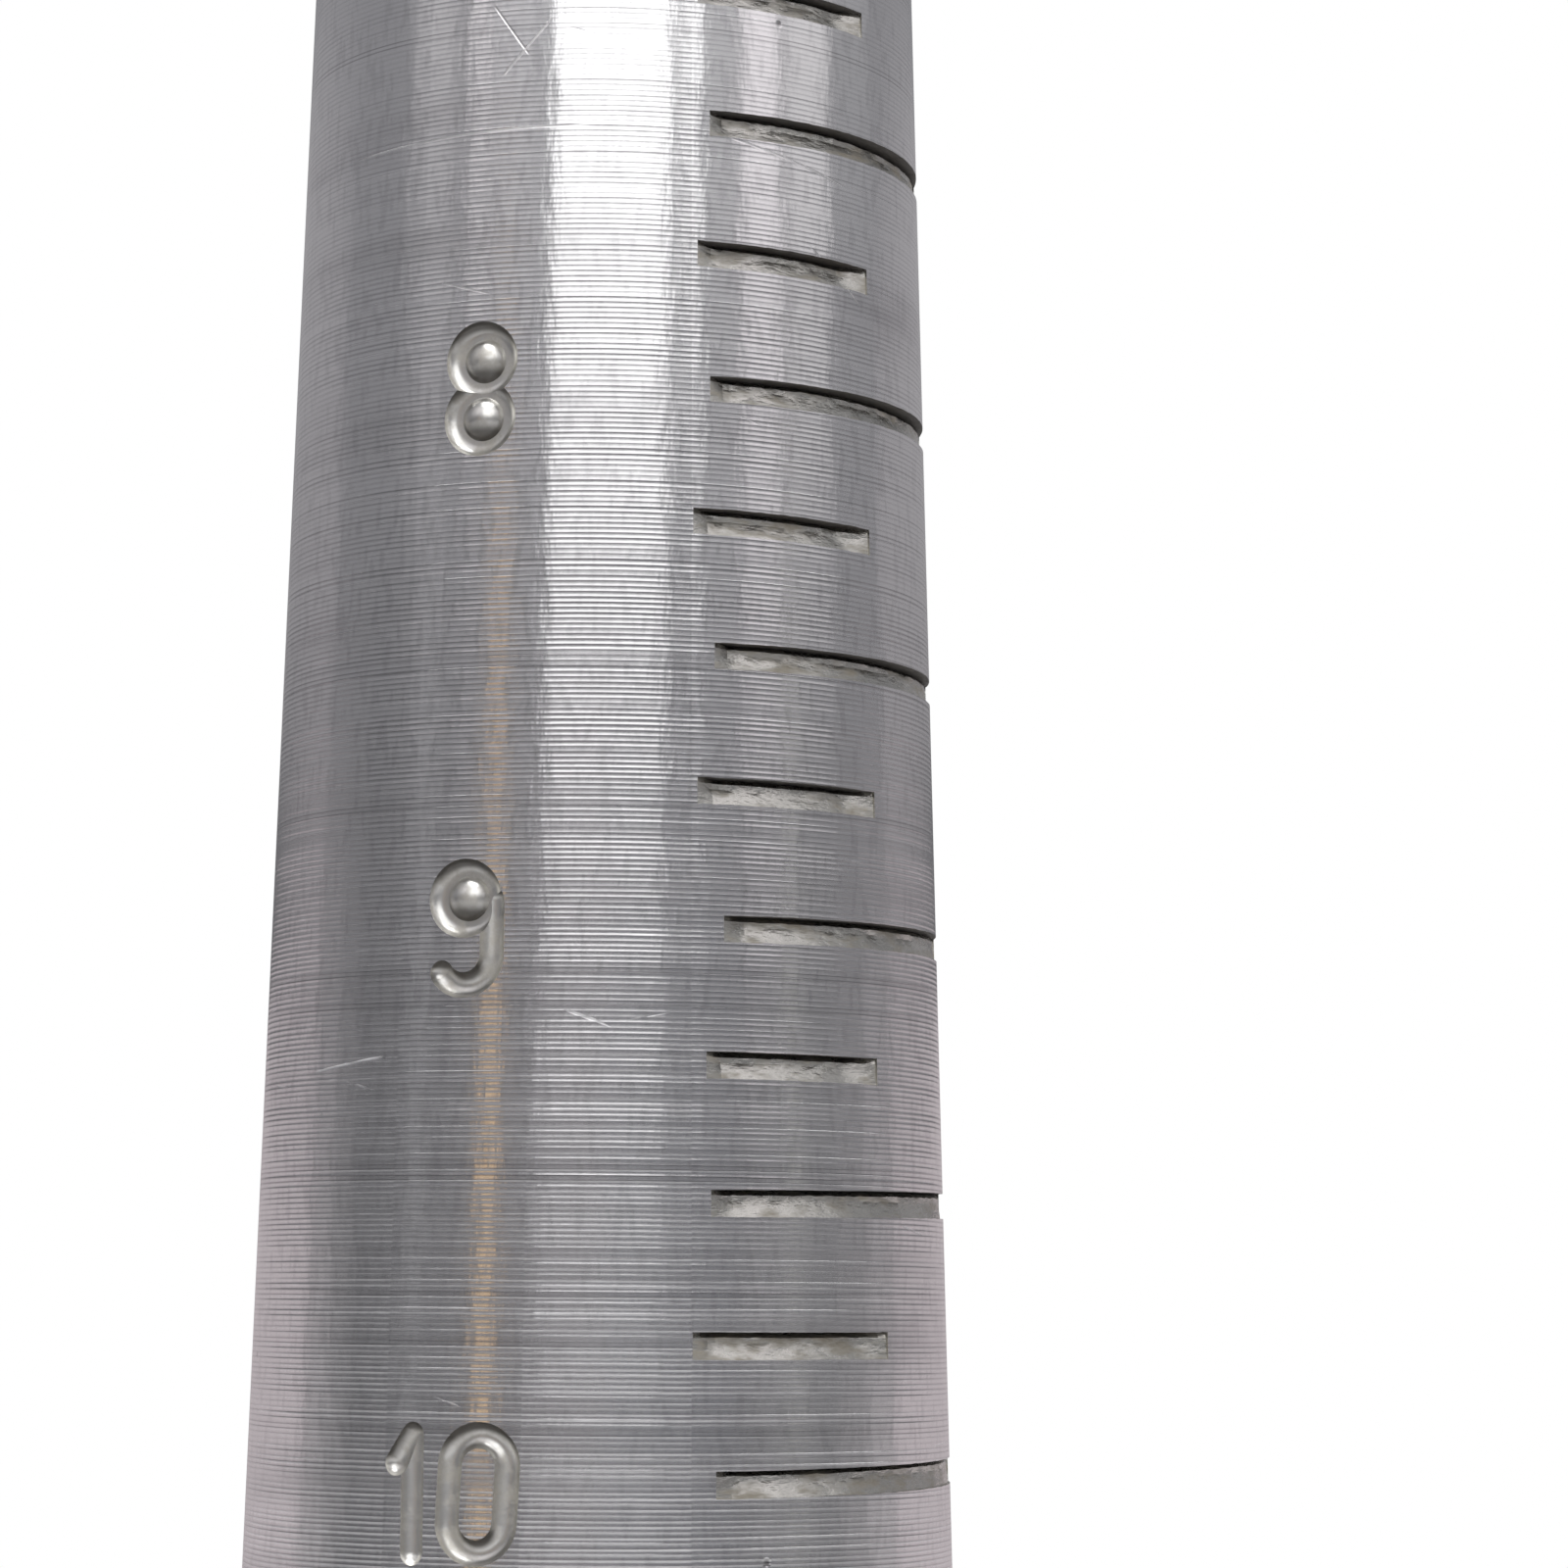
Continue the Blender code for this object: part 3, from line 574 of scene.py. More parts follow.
def sawn_metal(name, colour, grime):
    """Floor and walls of the size slots: torn metal with dirt in it, and shadow painted under the upper edge
    and on faces that look down.
    """
    material, graph, shader, where = plain_material(name)
    slot_pitch = SIZE_PITCH / SLOTS_PER_SIZE
    count = graph.math("DIVIDE", graph.minus(FIRST_SLOT_HEIGHT, graph.parts(where)["Z"]), slot_pitch)
    below = graph.times(graph.minus(count, graph.math("ROUND", count)), slot_pitch)
    patch = graph.noise(where, (700.0, 700.0, 2400.0), 4.0, 0.65)
    fine = graph.noise(where, (3500.0, 3500.0, 9000.0), 3.0, 0.6)
    # painted shadow: the top of each slot's floor and every face that looks down go near black, rougher and
    # less metallic
    shadow = graph.stretch(graph.plus(below, graph.times(patch, 0.1 * MM)), -0.34 * MM, -0.40 * MM)
    shadow = graph.math("MAXIMUM", shadow, downward(graph))
    dirt = graph.times(graph.stretch(patch, 0.45, 0.7), 0.8)
    dull = graph.math("MAXIMUM", dirt, shadow)
    base = graph.stain(graph.mix(dirt, colour, grime), PAINTED_SHADOW_BLACK, shadow, 0.93)
    graph.feed(shader.inputs["Base Color"], base)
    graph.feed(shader.inputs["Roughness"], graph.plus(graph.times(dull, 0.3), 0.27))
    graph.feed(shader.inputs["Metallic"], graph.stretch(dull, 0.0, 1.0, 1.0, 0.2))
    graph.emboss(shader, graph.total((patch, 0.05 * MM), (fine, 0.012 * MM)))
    return material


def beech_grain_group():
    """Straight beech grain along Z: growth rings, darker pores and the short flecks of the rays."""
    graph, given, out = new_group("beech_grain", {}, ("Ring", "Pore", "Fleck"))
    where = given["Vector"]
    heart = graph.operate("ShaderNodeVectorMath", "ADD", (where, (0.021, 0.034, 0.0)))[0]
    xyz = graph.parts(heart)
    flat = graph.add("ShaderNodeCombineXYZ", X=xyz["X"], Y=xyz["Y"], Z=graph.times(xyz["Z"], 0.03))
    away = graph.operate("ShaderNodeVectorMath", "LENGTH", (flat.outputs[0],))["Value"]
    sway = graph.noise(where, (28.0, 28.0, 6.0), 3.0)
    wide = graph.add("ShaderNodeTexNoise", {"noise_dimensions": "1D"}, W=away, Scale=260.0, Detail=2.0)
    count = graph.plus(graph.math("DIVIDE", away, GROWTH_RING), graph.times(sway, 1.6))
    count = graph.plus(count, graph.times(wide.outputs["Fac"], 5.0))
    ring = graph.math("FRACT", count)
    ring = graph.times(graph.stretch(ring, 0.1, 0.9), graph.stretch(ring, 1.0, 0.93))
    year = graph.plus(graph.times(graph.random(graph.math("FLOOR", count)), 0.75), 0.25)
    pore = graph.noise(where, (5200.0, 5200.0, 190.0), 2.0, 0.6)
    fleck = graph.noise(where, (2400.0, 2400.0, 420.0), 1.0)
    graph.feed(out["Ring"], graph.times(ring, year))
    graph.feed(out["Pore"], graph.stretch(pore, 0.53, 0.68))
    graph.feed(out["Fleck"], graph.stretch(fleck, 0.62, 0.70))
    return graph.tree


def tinted(colour, *shares):
    """A colour with its red, green and blue each turned up or down."""
    return tuple(min(1.0, channel * share) for channel, share in zip(colour, shares))


def beech(name, grain, light, dark, coat, roughness, dirty):
    """Beech under worn varnish, dirt in its pores, darker in the hollows and lighter on the sharp rims."""
    material, graph, shader, where = plain_material(name)
    lines = use_group(graph, grain, Vector=where)
    bend = graph.add("ShaderNodeNewGeometry").outputs["Pointiness"]
    cloud = graph.stretch(graph.noise(where, 70.0, 5.0, 0.62), 0.45, 0.72)
    worn = graph.stretch(graph.noise(where, 160.0, 4.0, 0.6), 0.5, 0.66)
    fine = graph.noise(where, (1800.0, 1800.0, 2600.0), 3.0)
    base = graph.stain(light, dark, lines["Ring"], 0.55)
    base = graph.stain(base, tinted(dark, 0.75, 0.68, 0.6), lines["Fleck"], 0.45)
    base = graph.stain(base, tinted(dark, 0.5, 0.42, 0.36), lines["Pore"], 0.35)
    base = graph.stain(base, (0.09, 0.055, 0.035), cloud, dirty)
    # darker in the hollows and lighter on the sharp rims, set by the mesh's pointiness
    base = graph.stain(base, (0.035, 0.02, 0.012), graph.stretch(bend, 0.49, 0.455), 0.8)
    base = graph.stain(base, tinted(light, 1.15, 1.1, 1.0), graph.stretch(bend, 0.525, 0.56), 0.4)
    dull = graph.plus(graph.total((worn, 0.22), (lines["Pore"], 0.1)), roughness)
    graph.feed(shader.inputs["Base Color"], base)
    graph.feed(shader.inputs["Roughness"], dull)
    graph.feed(shader.inputs["Coat Weight"], graph.stretch(worn, 0.0, 1.0, coat, coat * 0.25))
    shader.inputs["Coat Roughness"].default_value = 0.16
    graph.emboss(shader, graph.total((lines["Pore"], -0.012 * MM), (fine, 0.006 * MM),
                                     (lines["Ring"], -0.01 * MM)))
    return material


def plated_steel(name, wear):
    """Zinc plate gone slightly dull, with a yellowish bloom."""
    material, graph, shader, where = plain_material(name)
    marks = use_group(graph, wear, Vector=where)
    bloom = graph.stretch(graph.noise(where, 420.0, 4.0, 0.6), 0.42, 0.66)
    base = graph.stain((0.60, 0.61, 0.62), (0.46, 0.43, 0.33), bloom, 0.5)
    base = graph.stain(base, (0.14, 0.09, 0.06), marks["Nick"], 0.7)
    graph.feed(shader.inputs["Base Color"], base)
    graph.feed(shader.inputs["Roughness"], graph.plus(graph.total((bloom, 0.18), (marks["Rub"], 0.1)), 0.28))
    shader.inputs["Metallic"].default_value = 1.0
    graph.emboss(shader, graph.times(marks["Chatter"], 0.004 * MM))
    return material


# ---- gauge cone -------------------------------------------------------------------------------------------
def cone_blank():
    """Lathe centre in the tip, tapered gauge face, tapped hole in the base."""
    tip = cone_radius(CONE_TOP)
    base = cone_radius(CONE_BOTTOM)
    mouth_depth = (CENTRE_RADIUS - CENTRE_PILOT_RADIUS) / math.tan(math.radians(CENTRE_HALF_ANGLE))
    outline = [
        (0.0, CONE_TOP - CENTRE_DEPTH - CENTRE_PILOT_RADIUS),
        (CENTRE_PILOT_RADIUS, CONE_TOP - CENTRE_DEPTH),
        (CENTRE_PILOT_RADIUS, CONE_TOP - mouth_depth),
        (CENTRE_RADIUS, CONE_TOP),
    ]
    outline += arc((tip - CONE_EDGE, CONE_TOP - CONE_EDGE), CONE_EDGE, 90, 0, 10)
    outline += arc((base - CONE_EDGE, CONE_BOTTOM + CONE_EDGE), CONE_EDGE, 0, -90, 10)
    outline += [
        (BORE_RADIUS, CONE_BOTTOM),
        (BORE_RADIUS, CONE_BOTTOM + TAPPED_HOLE_DEPTH),
        (0.0, CONE_BOTTOM + TAPPED_HOLE_DEPTH + BORE_RADIUS / 2),
    ]
    return turned("gauge_cone_turned", outline, CONE_SIDES)


def on_facet_edge(degrees):
    """Nearest angle at which two facets of the cone meet."""
    return round(degrees * CONE_SIDES / 360) * 360 / CONE_SIDES


def run_in(share):
    """Smooth growth from nothing to full."""
    share = max(0.0, min(1.0, share))
    return share * share * (3 - 2 * share)


def slot_section(rise):
    """Depth across a slot as a share of the middle's; rise is -1 at its lower edge and 1 at its upper."""
    undercut_from = 0.8
    level_from = 0.2
    return SLOT_UNDERCUT if rise > undercut_from else 1 + SLOT_LEAN * min(rise, level_from)


def shape_slot_floor(bar, height, start, end, is_long, wander):
    """Leans the floor of a slot, brings both ends up to the face and leaves it rough."""
    fade = LONG_SLOT_RUN_OUT if is_long else SHORT_SLOT_RUN_OUT
    climb = LONG_SLOT_CLIMB * wander.uniform(0.3, 1.0) if is_long else 0.0
    for vertex in bar.data.vertices:
        out = vertex.co.to_2d().length
        degrees = math.degrees(math.atan2(vertex.co.x, -vertex.co.y))
        climbed = climb * (degrees - start) / 90
        if out > cone_radius(height):
            vertex.co.z += climbed
            continue
        ends = run_in((degrees - start) / SLOT_RUN_IN + SLOT_START_SHARE)
        ends *= run_in((end - degrees) / fade + SLOT_END_SHARE)
        section = slot_section((vertex.co.z - height) / (SLOT_WIDTH / 2))
        rough = wander.uniform(1 - SLOT_ROUGHNESS, 1 + SLOT_ROUGHNESS)
        lift = (cone_radius(vertex.co.z) - SLOT_DEPTH * section * ends * rough) / out
        vertex.co.x *= lift
        vertex.co.y *= lift
        vertex.co.z += climbed + wander.uniform(-SLOT_WAVER, SLOT_WAVER)


def slot_bar(size, wander):
    """Curved bar of one slot: a section swept round the cone, its inner side left rough."""
    is_long = (2 * size).is_integer()
    start, end = LONG_SLOT_ARC if is_long else SHORT_SLOT_ARC
    start = on_facet_edge(start + wander.uniform(-SLOT_START_MISS, SLOT_START_MISS))
    end = on_facet_edge(end + wander.uniform(-SLOT_END_MISS, SLOT_END_MISS))
    height = size_height(size) + wander.uniform(-SLOT_MISPLACED, SLOT_MISPLACED)
    floor_radius = cone_radius(height) - SLOT_DEPTH
    reach = SLOT_DEPTH + SLOT_PROUD
    angle = math.radians(start)
    out = Vector((math.sin(angle), -math.cos(angle), 0.0))
    up = Vector((0.0, 0.0, 1.0))
    start_clean()
    bpy.ops.mesh.primitive_plane_add(size=1.0)
    bar = bpy.context.object
    turn = Matrix((up, out, up.cross(out))).transposed().to_4x4()
    middle = Matrix.Translation(out * (floor_radius + reach / 2) + up * height)
    bar.matrix_world = middle @ turn @ Matrix.Diagonal((SLOT_WIDTH, reach, 1.0, 1.0))
    settle(bar, "slot_bar")
    middle_radius = floor_radius + reach / 2
    inner = {vertex.index for vertex in bar.data.vertices if vertex.co.to_2d().length < middle_radius}
    bpy.ops.object.mode_set(mode="EDIT")
    bpy.ops.mesh.select_mode(type="EDGE")
    bpy.ops.mesh.select_all(action="DESELECT")
    bpy.ops.object.mode_set(mode="OBJECT")
    for edge in bar.data.edges:
        edge.select = set(edge.vertices) == inner
    bpy.ops.object.mode_set(mode="EDIT")
    bpy.ops.mesh.subdivide(number_cuts=4)
    bpy.ops.mesh.select_mode(type="VERT")
    bpy.ops.mesh.select_all(action="SELECT")
    steps = round((end - start) * CONE_SIDES / 360 / 2)
    bpy.ops.mesh.spin(steps=steps, angle=-math.radians(end - start), center=(0, 0, height), axis=(0, 0, 1))
    bpy.ops.object.mode_set(mode="OBJECT")
    tidy_mesh(bar)
    shape_slot_floor(bar, height, start, end, is_long, wander)
    return bar


def slot_cutter():
    wander = random.Random(7)
    bars = []
    for index in range((LAST_SIZE - FIRST_SIZE) * SLOTS_PER_SIZE + 1):
        bars.append(slot_bar(FIRST_SIZE + index / SLOTS_PER_SIZE, wander))
    return join(bars, "slot_cutter")


def straight(start, end):
    """Points along a straight run, close enough to follow the cone."""
    run, rise = end[0] - start[0], end[1] - start[1]
    return [(start[0] + run * index / 8, start[1] + rise * index / 8) for index in range(9)]


def figure_shape(figure):
    """Runs of a punched figure, each without a sharp corner, then the middles of its round lobes."""
    high = (NUMERAL_HEIGHT - STROKE_WIDTH) / 2
    wide = (NUMERAL_WIDTH - STROKE_WIDTH) / 2
    narrow = (NUMERAL_ONE_WIDTH - STROKE_WIDTH) / 2
    bowl = high / 2
    top = high - wide
    lobe_low = (0.0, -LOBE_RISE)
    if figure == "0":
        left = arc((0, top), wide, 180, 0, 24) + arc((0, -top), wide, 0, -180, 24) + [(-wide, top)]
        return [left], []
    if figure == "1":
        flag = straight((-narrow, 0.52 * high), (narrow, high))
        return [straight((narrow, high), (narrow, -high)), flag], []
    if figure == "2":
        hook = arc((0, top), wide, 165, -35, 30)
        return [hook, straight(hook[-1], (-wide, -high)), straight((-wide, -high), (wide, -high))], []
    if figure == "3":
        return [arc((0, bowl), bowl, 150, -75, 28), arc((0, -bowl), bowl, 75, -150, 28)], []
    if figure == "4":
        stem = straight((0.45 * wide, high), (0.45 * wide, -high))
        slope = straight((0.45 * wide, high), (-wide, -0.35 * high))
        return [stem, slope, straight((-wide, -0.35 * high), (wide, -0.35 * high))], []
    if figure == "5":
        bar = straight((-0.85 * wide, high), (wide, high))
        back = straight((-0.85 * wide, high), (-0.85 * wide, 0.1 * high))
        return [bar, back, arc((0, -top), wide, 132, -145, 34)], []
    if figure == "7":
        return [straight((-wide, high), (wide, high)), straight((wide, high), (-0.2 * wide, -high))], []
    if figure == "8":
        return [], [(0.0, LOBE_RISE), lobe_low]
    tail = straight((-wide, -top), (-wide, top))[:-1] + arc((0, top), wide, 180, 35, 20)
    if figure == "6":
        return [tail], [lobe_low]
    return [[(-x, -y) for x, y in tail]], [(0.0, LOBE_RISE)]


def figure_width(figure):
    return NUMERAL_ONE_WIDTH if figure == "1" else NUMERAL_WIDTH


def figure_places(wander):
    """Every figure of the scale with the spot and the small lean that the punch was struck at."""
    for size in range(FIRST_SIZE, LAST_SIZE + 1):
        figures = str(size)
        total = sum(figure_width(figure) for figure in figures) + NUMERAL_GAP * (len(figures) - 1)
        slip_across, slip_up = PUNCH_SLIPS.get(size, (0.0, 0.0))
        left = slip_across - total / 2
        for figure in figures:
            middle = left + figure_width(figure) / 2 + wander.uniform(-0.04, 0.04) * MM
            left += figure_width(figure) + NUMERAL_GAP
            rise = slip_up + wander.uniform(-0.06, 0.06) * MM
            lean = math.radians(wander.uniform(-4.5, 1.5))
            yield size, figure, middle, rise, lean


def punch_point(strike, x, y):
    """Place on the gauge face of a point of a struck figure, as (degrees round, height)."""
    size, middle, rise, lean = strike
    across = middle + x * math.cos(lean) - y * math.sin(lean)
    height = size_height(size) + rise + x * math.sin(lean) + y * math.cos(lean)
    return NUMERAL_ANGLE + math.degrees(across / cone_radius(height)), height


def run_cutter(runs):
    """Round bars along runs of places on the gauge face, as one mesh."""
    curve = bpy.data.curves.new("figure_runs", "CURVE")
    curve.dimensions = "3D"
    curve.bevel_depth = STROKE_WIDTH / 2
    curve.bevel_resolution = 12
    curve.use_fill_caps = True
    for run in runs:
        loop = (run[0] - run[-1]).length < 0.001 * MM
        places = run[:-1] if loop else run
        spline = curve.splines.new("POLY")
        spline.points.add(len(places) - 1)
        spline.use_cyclic_u = loop
        for point, place in zip(spline.points, places):
            point.co = (*place, 1.0)
    bars = bpy.data.objects.new("figure_runs", curve)
    bpy.context.scene.collection.objects.link(bars)
    pick(bars)
    bpy.ops.object.convert(target="MESH")
    bars = bpy.context.object
    tidy_mesh(bars)
    return bars


def balls(places, radius, name):
    """One round ball at each place, joined."""
    found = []
    for place in places:
        start_clean()
        bpy.ops.mesh.primitive_uv_sphere_add(segments=32, ring_count=16, radius=radius, location=place)
        found.append(settle(bpy.context.object, name))
    return join(found, name)


def lobe_cutter(places):
    """Round-walled shallow bowls, one at each (point on the cone, outward direction)."""
    wall = STROKE_WIDTH / 2
    sink = STROKE_DEPTH - wall
    outline = [(0.0, wall), (LOBE_RADIUS, wall)]
    outline += arc((LOBE_RADIUS - wall, -sink), wall, 0, -90, 12)
    outline += [(0.0, -STROKE_DEPTH)]
    bowls = []
    for place, out in places:
        bowl = turned("lobe", outline, 48)
        bowl.matrix_world = Matrix.Translation(place) @ out.to_track_quat("Z", "Y").to_matrix().to_4x4()
        bowls.append(settle(bowl, "lobe"))
    return join(bowls, "lobes")


def strike_numerals(cone):
    """Sinks every figure into the cone, then raises the round domes inside the eights, sixes and nines."""
    sink = STROKE_DEPTH - STROKE_WIDTH / 2
    layers = {}
    ends = {}
    lobes = {}
    domes = []
    for size, figure, middle, rise, lean in figure_places(random.Random(3)):
        strike = (size, middle, rise, lean)
        runs, round_parts = figure_shape(figure)
        for layer, run in enumerate(runs):
            places = [on_cone(*punch_point(strike, x, y), -sink) for x, y in run]
            layers.setdefault(layer, []).append(places)
            for x, y in (run[0], run[-1]):
                spot = (strike, round(x / MM, 3), round(y / MM, 3))
                ends[spot] = on_cone(*punch_point(strike, x, y), -sink)
        for layer, (x, y) in enumerate(round_parts):
            degrees, height = punch_point(strike, x, y)
            out = on_cone(degrees, height, 1.0) - on_cone(degrees, height)
            lobes.setdefault(layer, []).append((on_cone(degrees, height), out))
            domes.append(on_cone(degrees, height, -COUNTER_DOME_DEPTH))
    for layer in sorted(layers):
        cut(cone, run_cutter(layers[layer]), PUNCHED)
    cut(cone, balls(ends.values(), STROKE_WIDTH / 2 * RUN_END_SHARE, "run_ends"), PUNCHED)
    for layer in sorted(lobes):
        cut(cone, lobe_cutter(lobes[layer]), PUNCHED)
    cut(cone, balls(domes, COUNTER_DOME_RADIUS, "counter_domes"), PUNCHED, "UNION")


def gauge_cone(face, slot_floor, figure_metal):
    """Turned, then sawn with the slots, then punched with the figures."""
    cone = cone_blank()
    for material in (face, slot_floor, figure_metal):
        cone.data.materials.append(material)
    cut(cone, slot_cutter(), SAWN)
    strike_numerals(cone)
    tidy_mesh(cone)
    shade(cone)
    finish_piece(cone, "gauge_cone", "turned_aluminium", face, slot_floor, figure_metal)


# ---- collar, ferrule and pins -----------------------------------------------------------------------------
def span(node):
    """Lowest and highest level and the outer radius of a node of the frame."""
    low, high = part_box(node)
    return low.z, high.z, (high.y - low.y) / 2


def groove(radius, height, depth):
    """Outline points of a scribed V groove, top side first."""
    return [(radius, height + depth), (radius - depth, height), (radius, height - depth)]


def tube(name, outline, inner, sides):
    """Turned tube: an outer outline from top to bottom, closed by a plain bore."""
    bottom = outline[-1][1]
    top = outline[0][1]
    return turned(name, outline + [(inner, bottom), (inner, top)], sides, closed=True)


def stop_collar(metal):
    """Collar with rounded edges and two turned grooves."""
    low, high, radius = span("stop_collar")
    edge = COLLAR_EDGE
    middle = (low + high) / 2
    outline = [(radius - edge - COLLAR_FLAT, high)]
    outline += arc((radius - edge, high - edge), edge, 90, 0, 8)
    outline += groove(radius, middle + COLLAR_GROOVE_GAP / 2, COLLAR_GROOVE)
    outline += groove(radius, middle - COLLAR_GROOVE_GAP / 2, COLLAR_GROOVE)
    outline += arc((radius - edge, low + edge), edge, 0, -90, 8)
    piece = tube("stop_collar_turned", outline, BORE_RADIUS, TURNED_SIDES)
    shade(piece, TURNED_SMOOTH_ANGLE)
    finish_piece(piece, "stop_collar", "collar_aluminium", metal)


def pin_matrix(degrees, height):
    """Stands +Z along the outward direction at an angle round from the front."""
    turn = Matrix.Rotation(math.radians(degrees), 4, "Z")
    lay_down = Matrix.Rotation(math.radians(90), 4, "X")
    return turn @ Matrix.Translation((0.0, 0.0, height)) @ lay_down


def pin_holes(outer, height):
    holes = []
    radius = PIN_RADIUS + PIN_CLEARANCE
    for degrees in PIN_ANGLES:
        outline = [(0.0, outer + MM), (radius, outer + MM), (radius, outer - PIN_HOLE_DEPTH)]
        outline += [(0.0, outer - PIN_HOLE_DEPTH)]
        hole = turned("pin_hole", outline, 32)
        hole.matrix_world = pin_matrix(degrees, height)
        holes.append(settle(hole, "pin_hole"))
    return join(holes, "pin_holes")


def ferrule(metal):
    """Brass tube with a rolled bead at its foot, a pair of scribed lines and a soft upper edge."""
    low, high, outer = span("ferrule")
    radius = cone_radius(CONE_BOTTOM)
    bead = outer - radius
    bead_middle = low + 3 * bead
    outline = arc((radius - FERRULE_EDGE, high - FERRULE_EDGE), FERRULE_EDGE, 90, 0, 6)
    for level in (high - FERRULE_GROOVE_DROP, high - FERRULE_GROOVE_DROP - FERRULE_GROOVE_GAP,
                  bead_middle + 3.2 * bead):
        outline += groove(radius, level, FERRULE_GROOVE)
    outline += oval((radius, bead_middle), 0.98 * bead, 2 * bead, 90, -90, 16)
    outline += arc((radius - FERRULE_EDGE, low + FERRULE_EDGE), FERRULE_EDGE, 0, -90, 6)
    piece = tube("ferrule_turned", outline, radius - FERRULE_WALL, TURNED_SIDES)
    piece.data.materials.append(metal)
    cut(piece, pin_holes(radius, (low + high) / 2), 0)
    tidy_mesh(piece)
    shade(piece, TURNED_SMOOTH_ANGLE)
    finish_piece(piece, "ferrule", "ferrule_brass", metal)


def ferrule_pins(metal):
    """Pins with hammered round heads, each a little off true."""
    low, high, outer = span("ferrule")
    radius = cone_radius(CONE_BOTTOM)
    wander = random.Random(11)
    foot = radius + PIN_HEAD_GAP
    for number, degrees in enumerate(PIN_ANGLES, start=1):
        node = f"ferrule_pin_{number}"
        outline = [(0.0, foot + PIN_HEAD_HEIGHT), (0.5 * MM, foot + 0.97 * PIN_HEAD_HEIGHT)]
        outline += oval((0.0, foot), PIN_HEAD_RADIUS, 0.92 * PIN_HEAD_HEIGHT, 72, 0, 12)[1:]
        point = radius - PIN_LENGTH
        outline += [(PIN_RADIUS, foot), (PIN_RADIUS, point + PIN_RADIUS), (0.0, point)]
        pin = turned(f"{node}_hammered", outline, 48)
        for vertex in pin.data.vertices:
            if vertex.co.z > foot + 0.3 * PIN_HEAD_HEIGHT:
                blow = math.sin(vertex.co.x * 2600 + number) * math.cos(vertex.co.y * 2100 + 2 * number)
                vertex.co.z -= abs(HAMMER_DEPTH * blow) + wander.uniform(0.0, 0.002) * MM
        pin.matrix_world = pin_matrix(degrees, (low + high) / 2)
        settle(pin, pin.name)
        shade(pin, 40)
        finish_piece(pin, node, "pin_brass", metal)


# ---- handle and plug --------------------------------------------------------------------------------------
def eased(start, end, share):
    return start + (end - start) * (1 - math.cos(math.pi * share)) / 2


def handle_outline():
    """Neck, bead, upper waist, belly with three scribed rings, lower waist, butt and the stepped hole."""
    radius = cone_radius(CONE_BOTTOM)
    low, high, butt_radius = span("handle")
    neck = radius - FERRULE_WALL - NECK_CLEARANCE
    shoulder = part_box("ferrule")[0].z - SEAT_GAP
    bead = BEAD_LENGTH / 2
    bead_radius = radius + BEAD_STAND - bead
    stations = [
        (bead_radius, shoulder - BEAD_LENGTH),
        (UPPER_WAIST_RADIUS, shoulder - BEAD_LENGTH - UPPER_WAIST_DROP),
        (BELLY_RADIUS, (shoulder - BEAD_LENGTH - UPPER_WAIST_DROP + LOWER_WAIST_HEIGHT) / 2),
        (LOWER_WAIST_RADIUS, LOWER_WAIST_HEIGHT),
        (butt_radius, BUTT_HEIGHT),
    ]
    outline = [(neck - NECK_CHAMFER, high), (neck, high - NECK_CHAMFER), (neck, shoulder)]
    outline += arc((bead_radius, shoulder - bead), bead, 90, -90, 20)
    rings = [stations[2][1] + offset for offset in (RING_GAP, 0.0, -RING_GAP)]
    for start, end in zip(stations, stations[1:]):
        steps = max(8, round((start[1] - end[1]) / OUTLINE_STEP))
        for index in range(1, steps + 1):
            share = index / steps
            here = start[1] + (end[1] - start[1]) * share
            out = eased(start[0], end[0], share)
            if not rings or abs(here - rings[0]) > RING_CLEARANCE:
                outline.append((out, here))
            elif abs(here - rings[0]) <= RING_REACH:
                outline += groove(out, rings.pop(0), RING_DEPTH)
    outline += oval((butt_radius - BUTT_ROUND, BUTT_HEIGHT), BUTT_ROUND, BUTT_HEIGHT, 0, -90, 12)[1:]
    socket_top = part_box("end_washer")[1].z + SEAT_GAP
    plug_radius = span("end_plug")[2] + PLUG_CLEARANCE
    outline += [(plug_radius + SOCKET_CHAMFER, 0.0), (plug_radius, SOCKET_CHAMFER), (plug_radius, socket_top)]
    outline += [(BORE_RADIUS, socket_top), (BORE_RADIUS, high)]
    return outline


def dent(grip):
    """Small dents from use, half of them close to the butt."""
    wander = random.Random(5)
    dents = []
    for number in range(DENTS):
        height = wander.uniform(3, 68 if number % 2 else 12) * MM
        angle = wander.uniform(0, 2 * math.pi)
        size = wander.uniform(0.8, 2.4) * MM
        dents.append((angle, height, size, wander.uniform(0.05, 0.22) * MM))
    for vertex in grip.data.vertices:
        out = vertex.co.to_2d().length
        if out < DENTED_FROM_RADIUS:
            continue
        angle = math.atan2(vertex.co.y, vertex.co.x)
        push = 0.0
        for dent_angle, height, size, depth in dents:
            if abs(vertex.co.z - height) > size:
                continue
            turn = (angle - dent_angle + math.pi) % (2 * math.pi) - math.pi
            away = math.hypot(turn * out, vertex.co.z - height) / size
            push = max(push, depth * max(0.0, 1 - away) ** 1.5)
        vertex.co.x *= 1 - push / out
        vertex.co.y *= 1 - push / out


def handle(wood):
    """Turned grip, drilled for the ferrule's pins."""
    grip = turned("handle_turned", handle_outline(), TURNED_SIDES, closed=True)
    grip.data.materials.append(wood)
    low, high, outer = span("ferrule")
    cut(grip, pin_holes(cone_radius(CONE_BOTTOM), (low + high) / 2), 0)
    tidy_mesh(grip)
    dent(grip)
    shade(grip, 25)
    finish_piece(grip, "handle", "varnished_beech", wood)


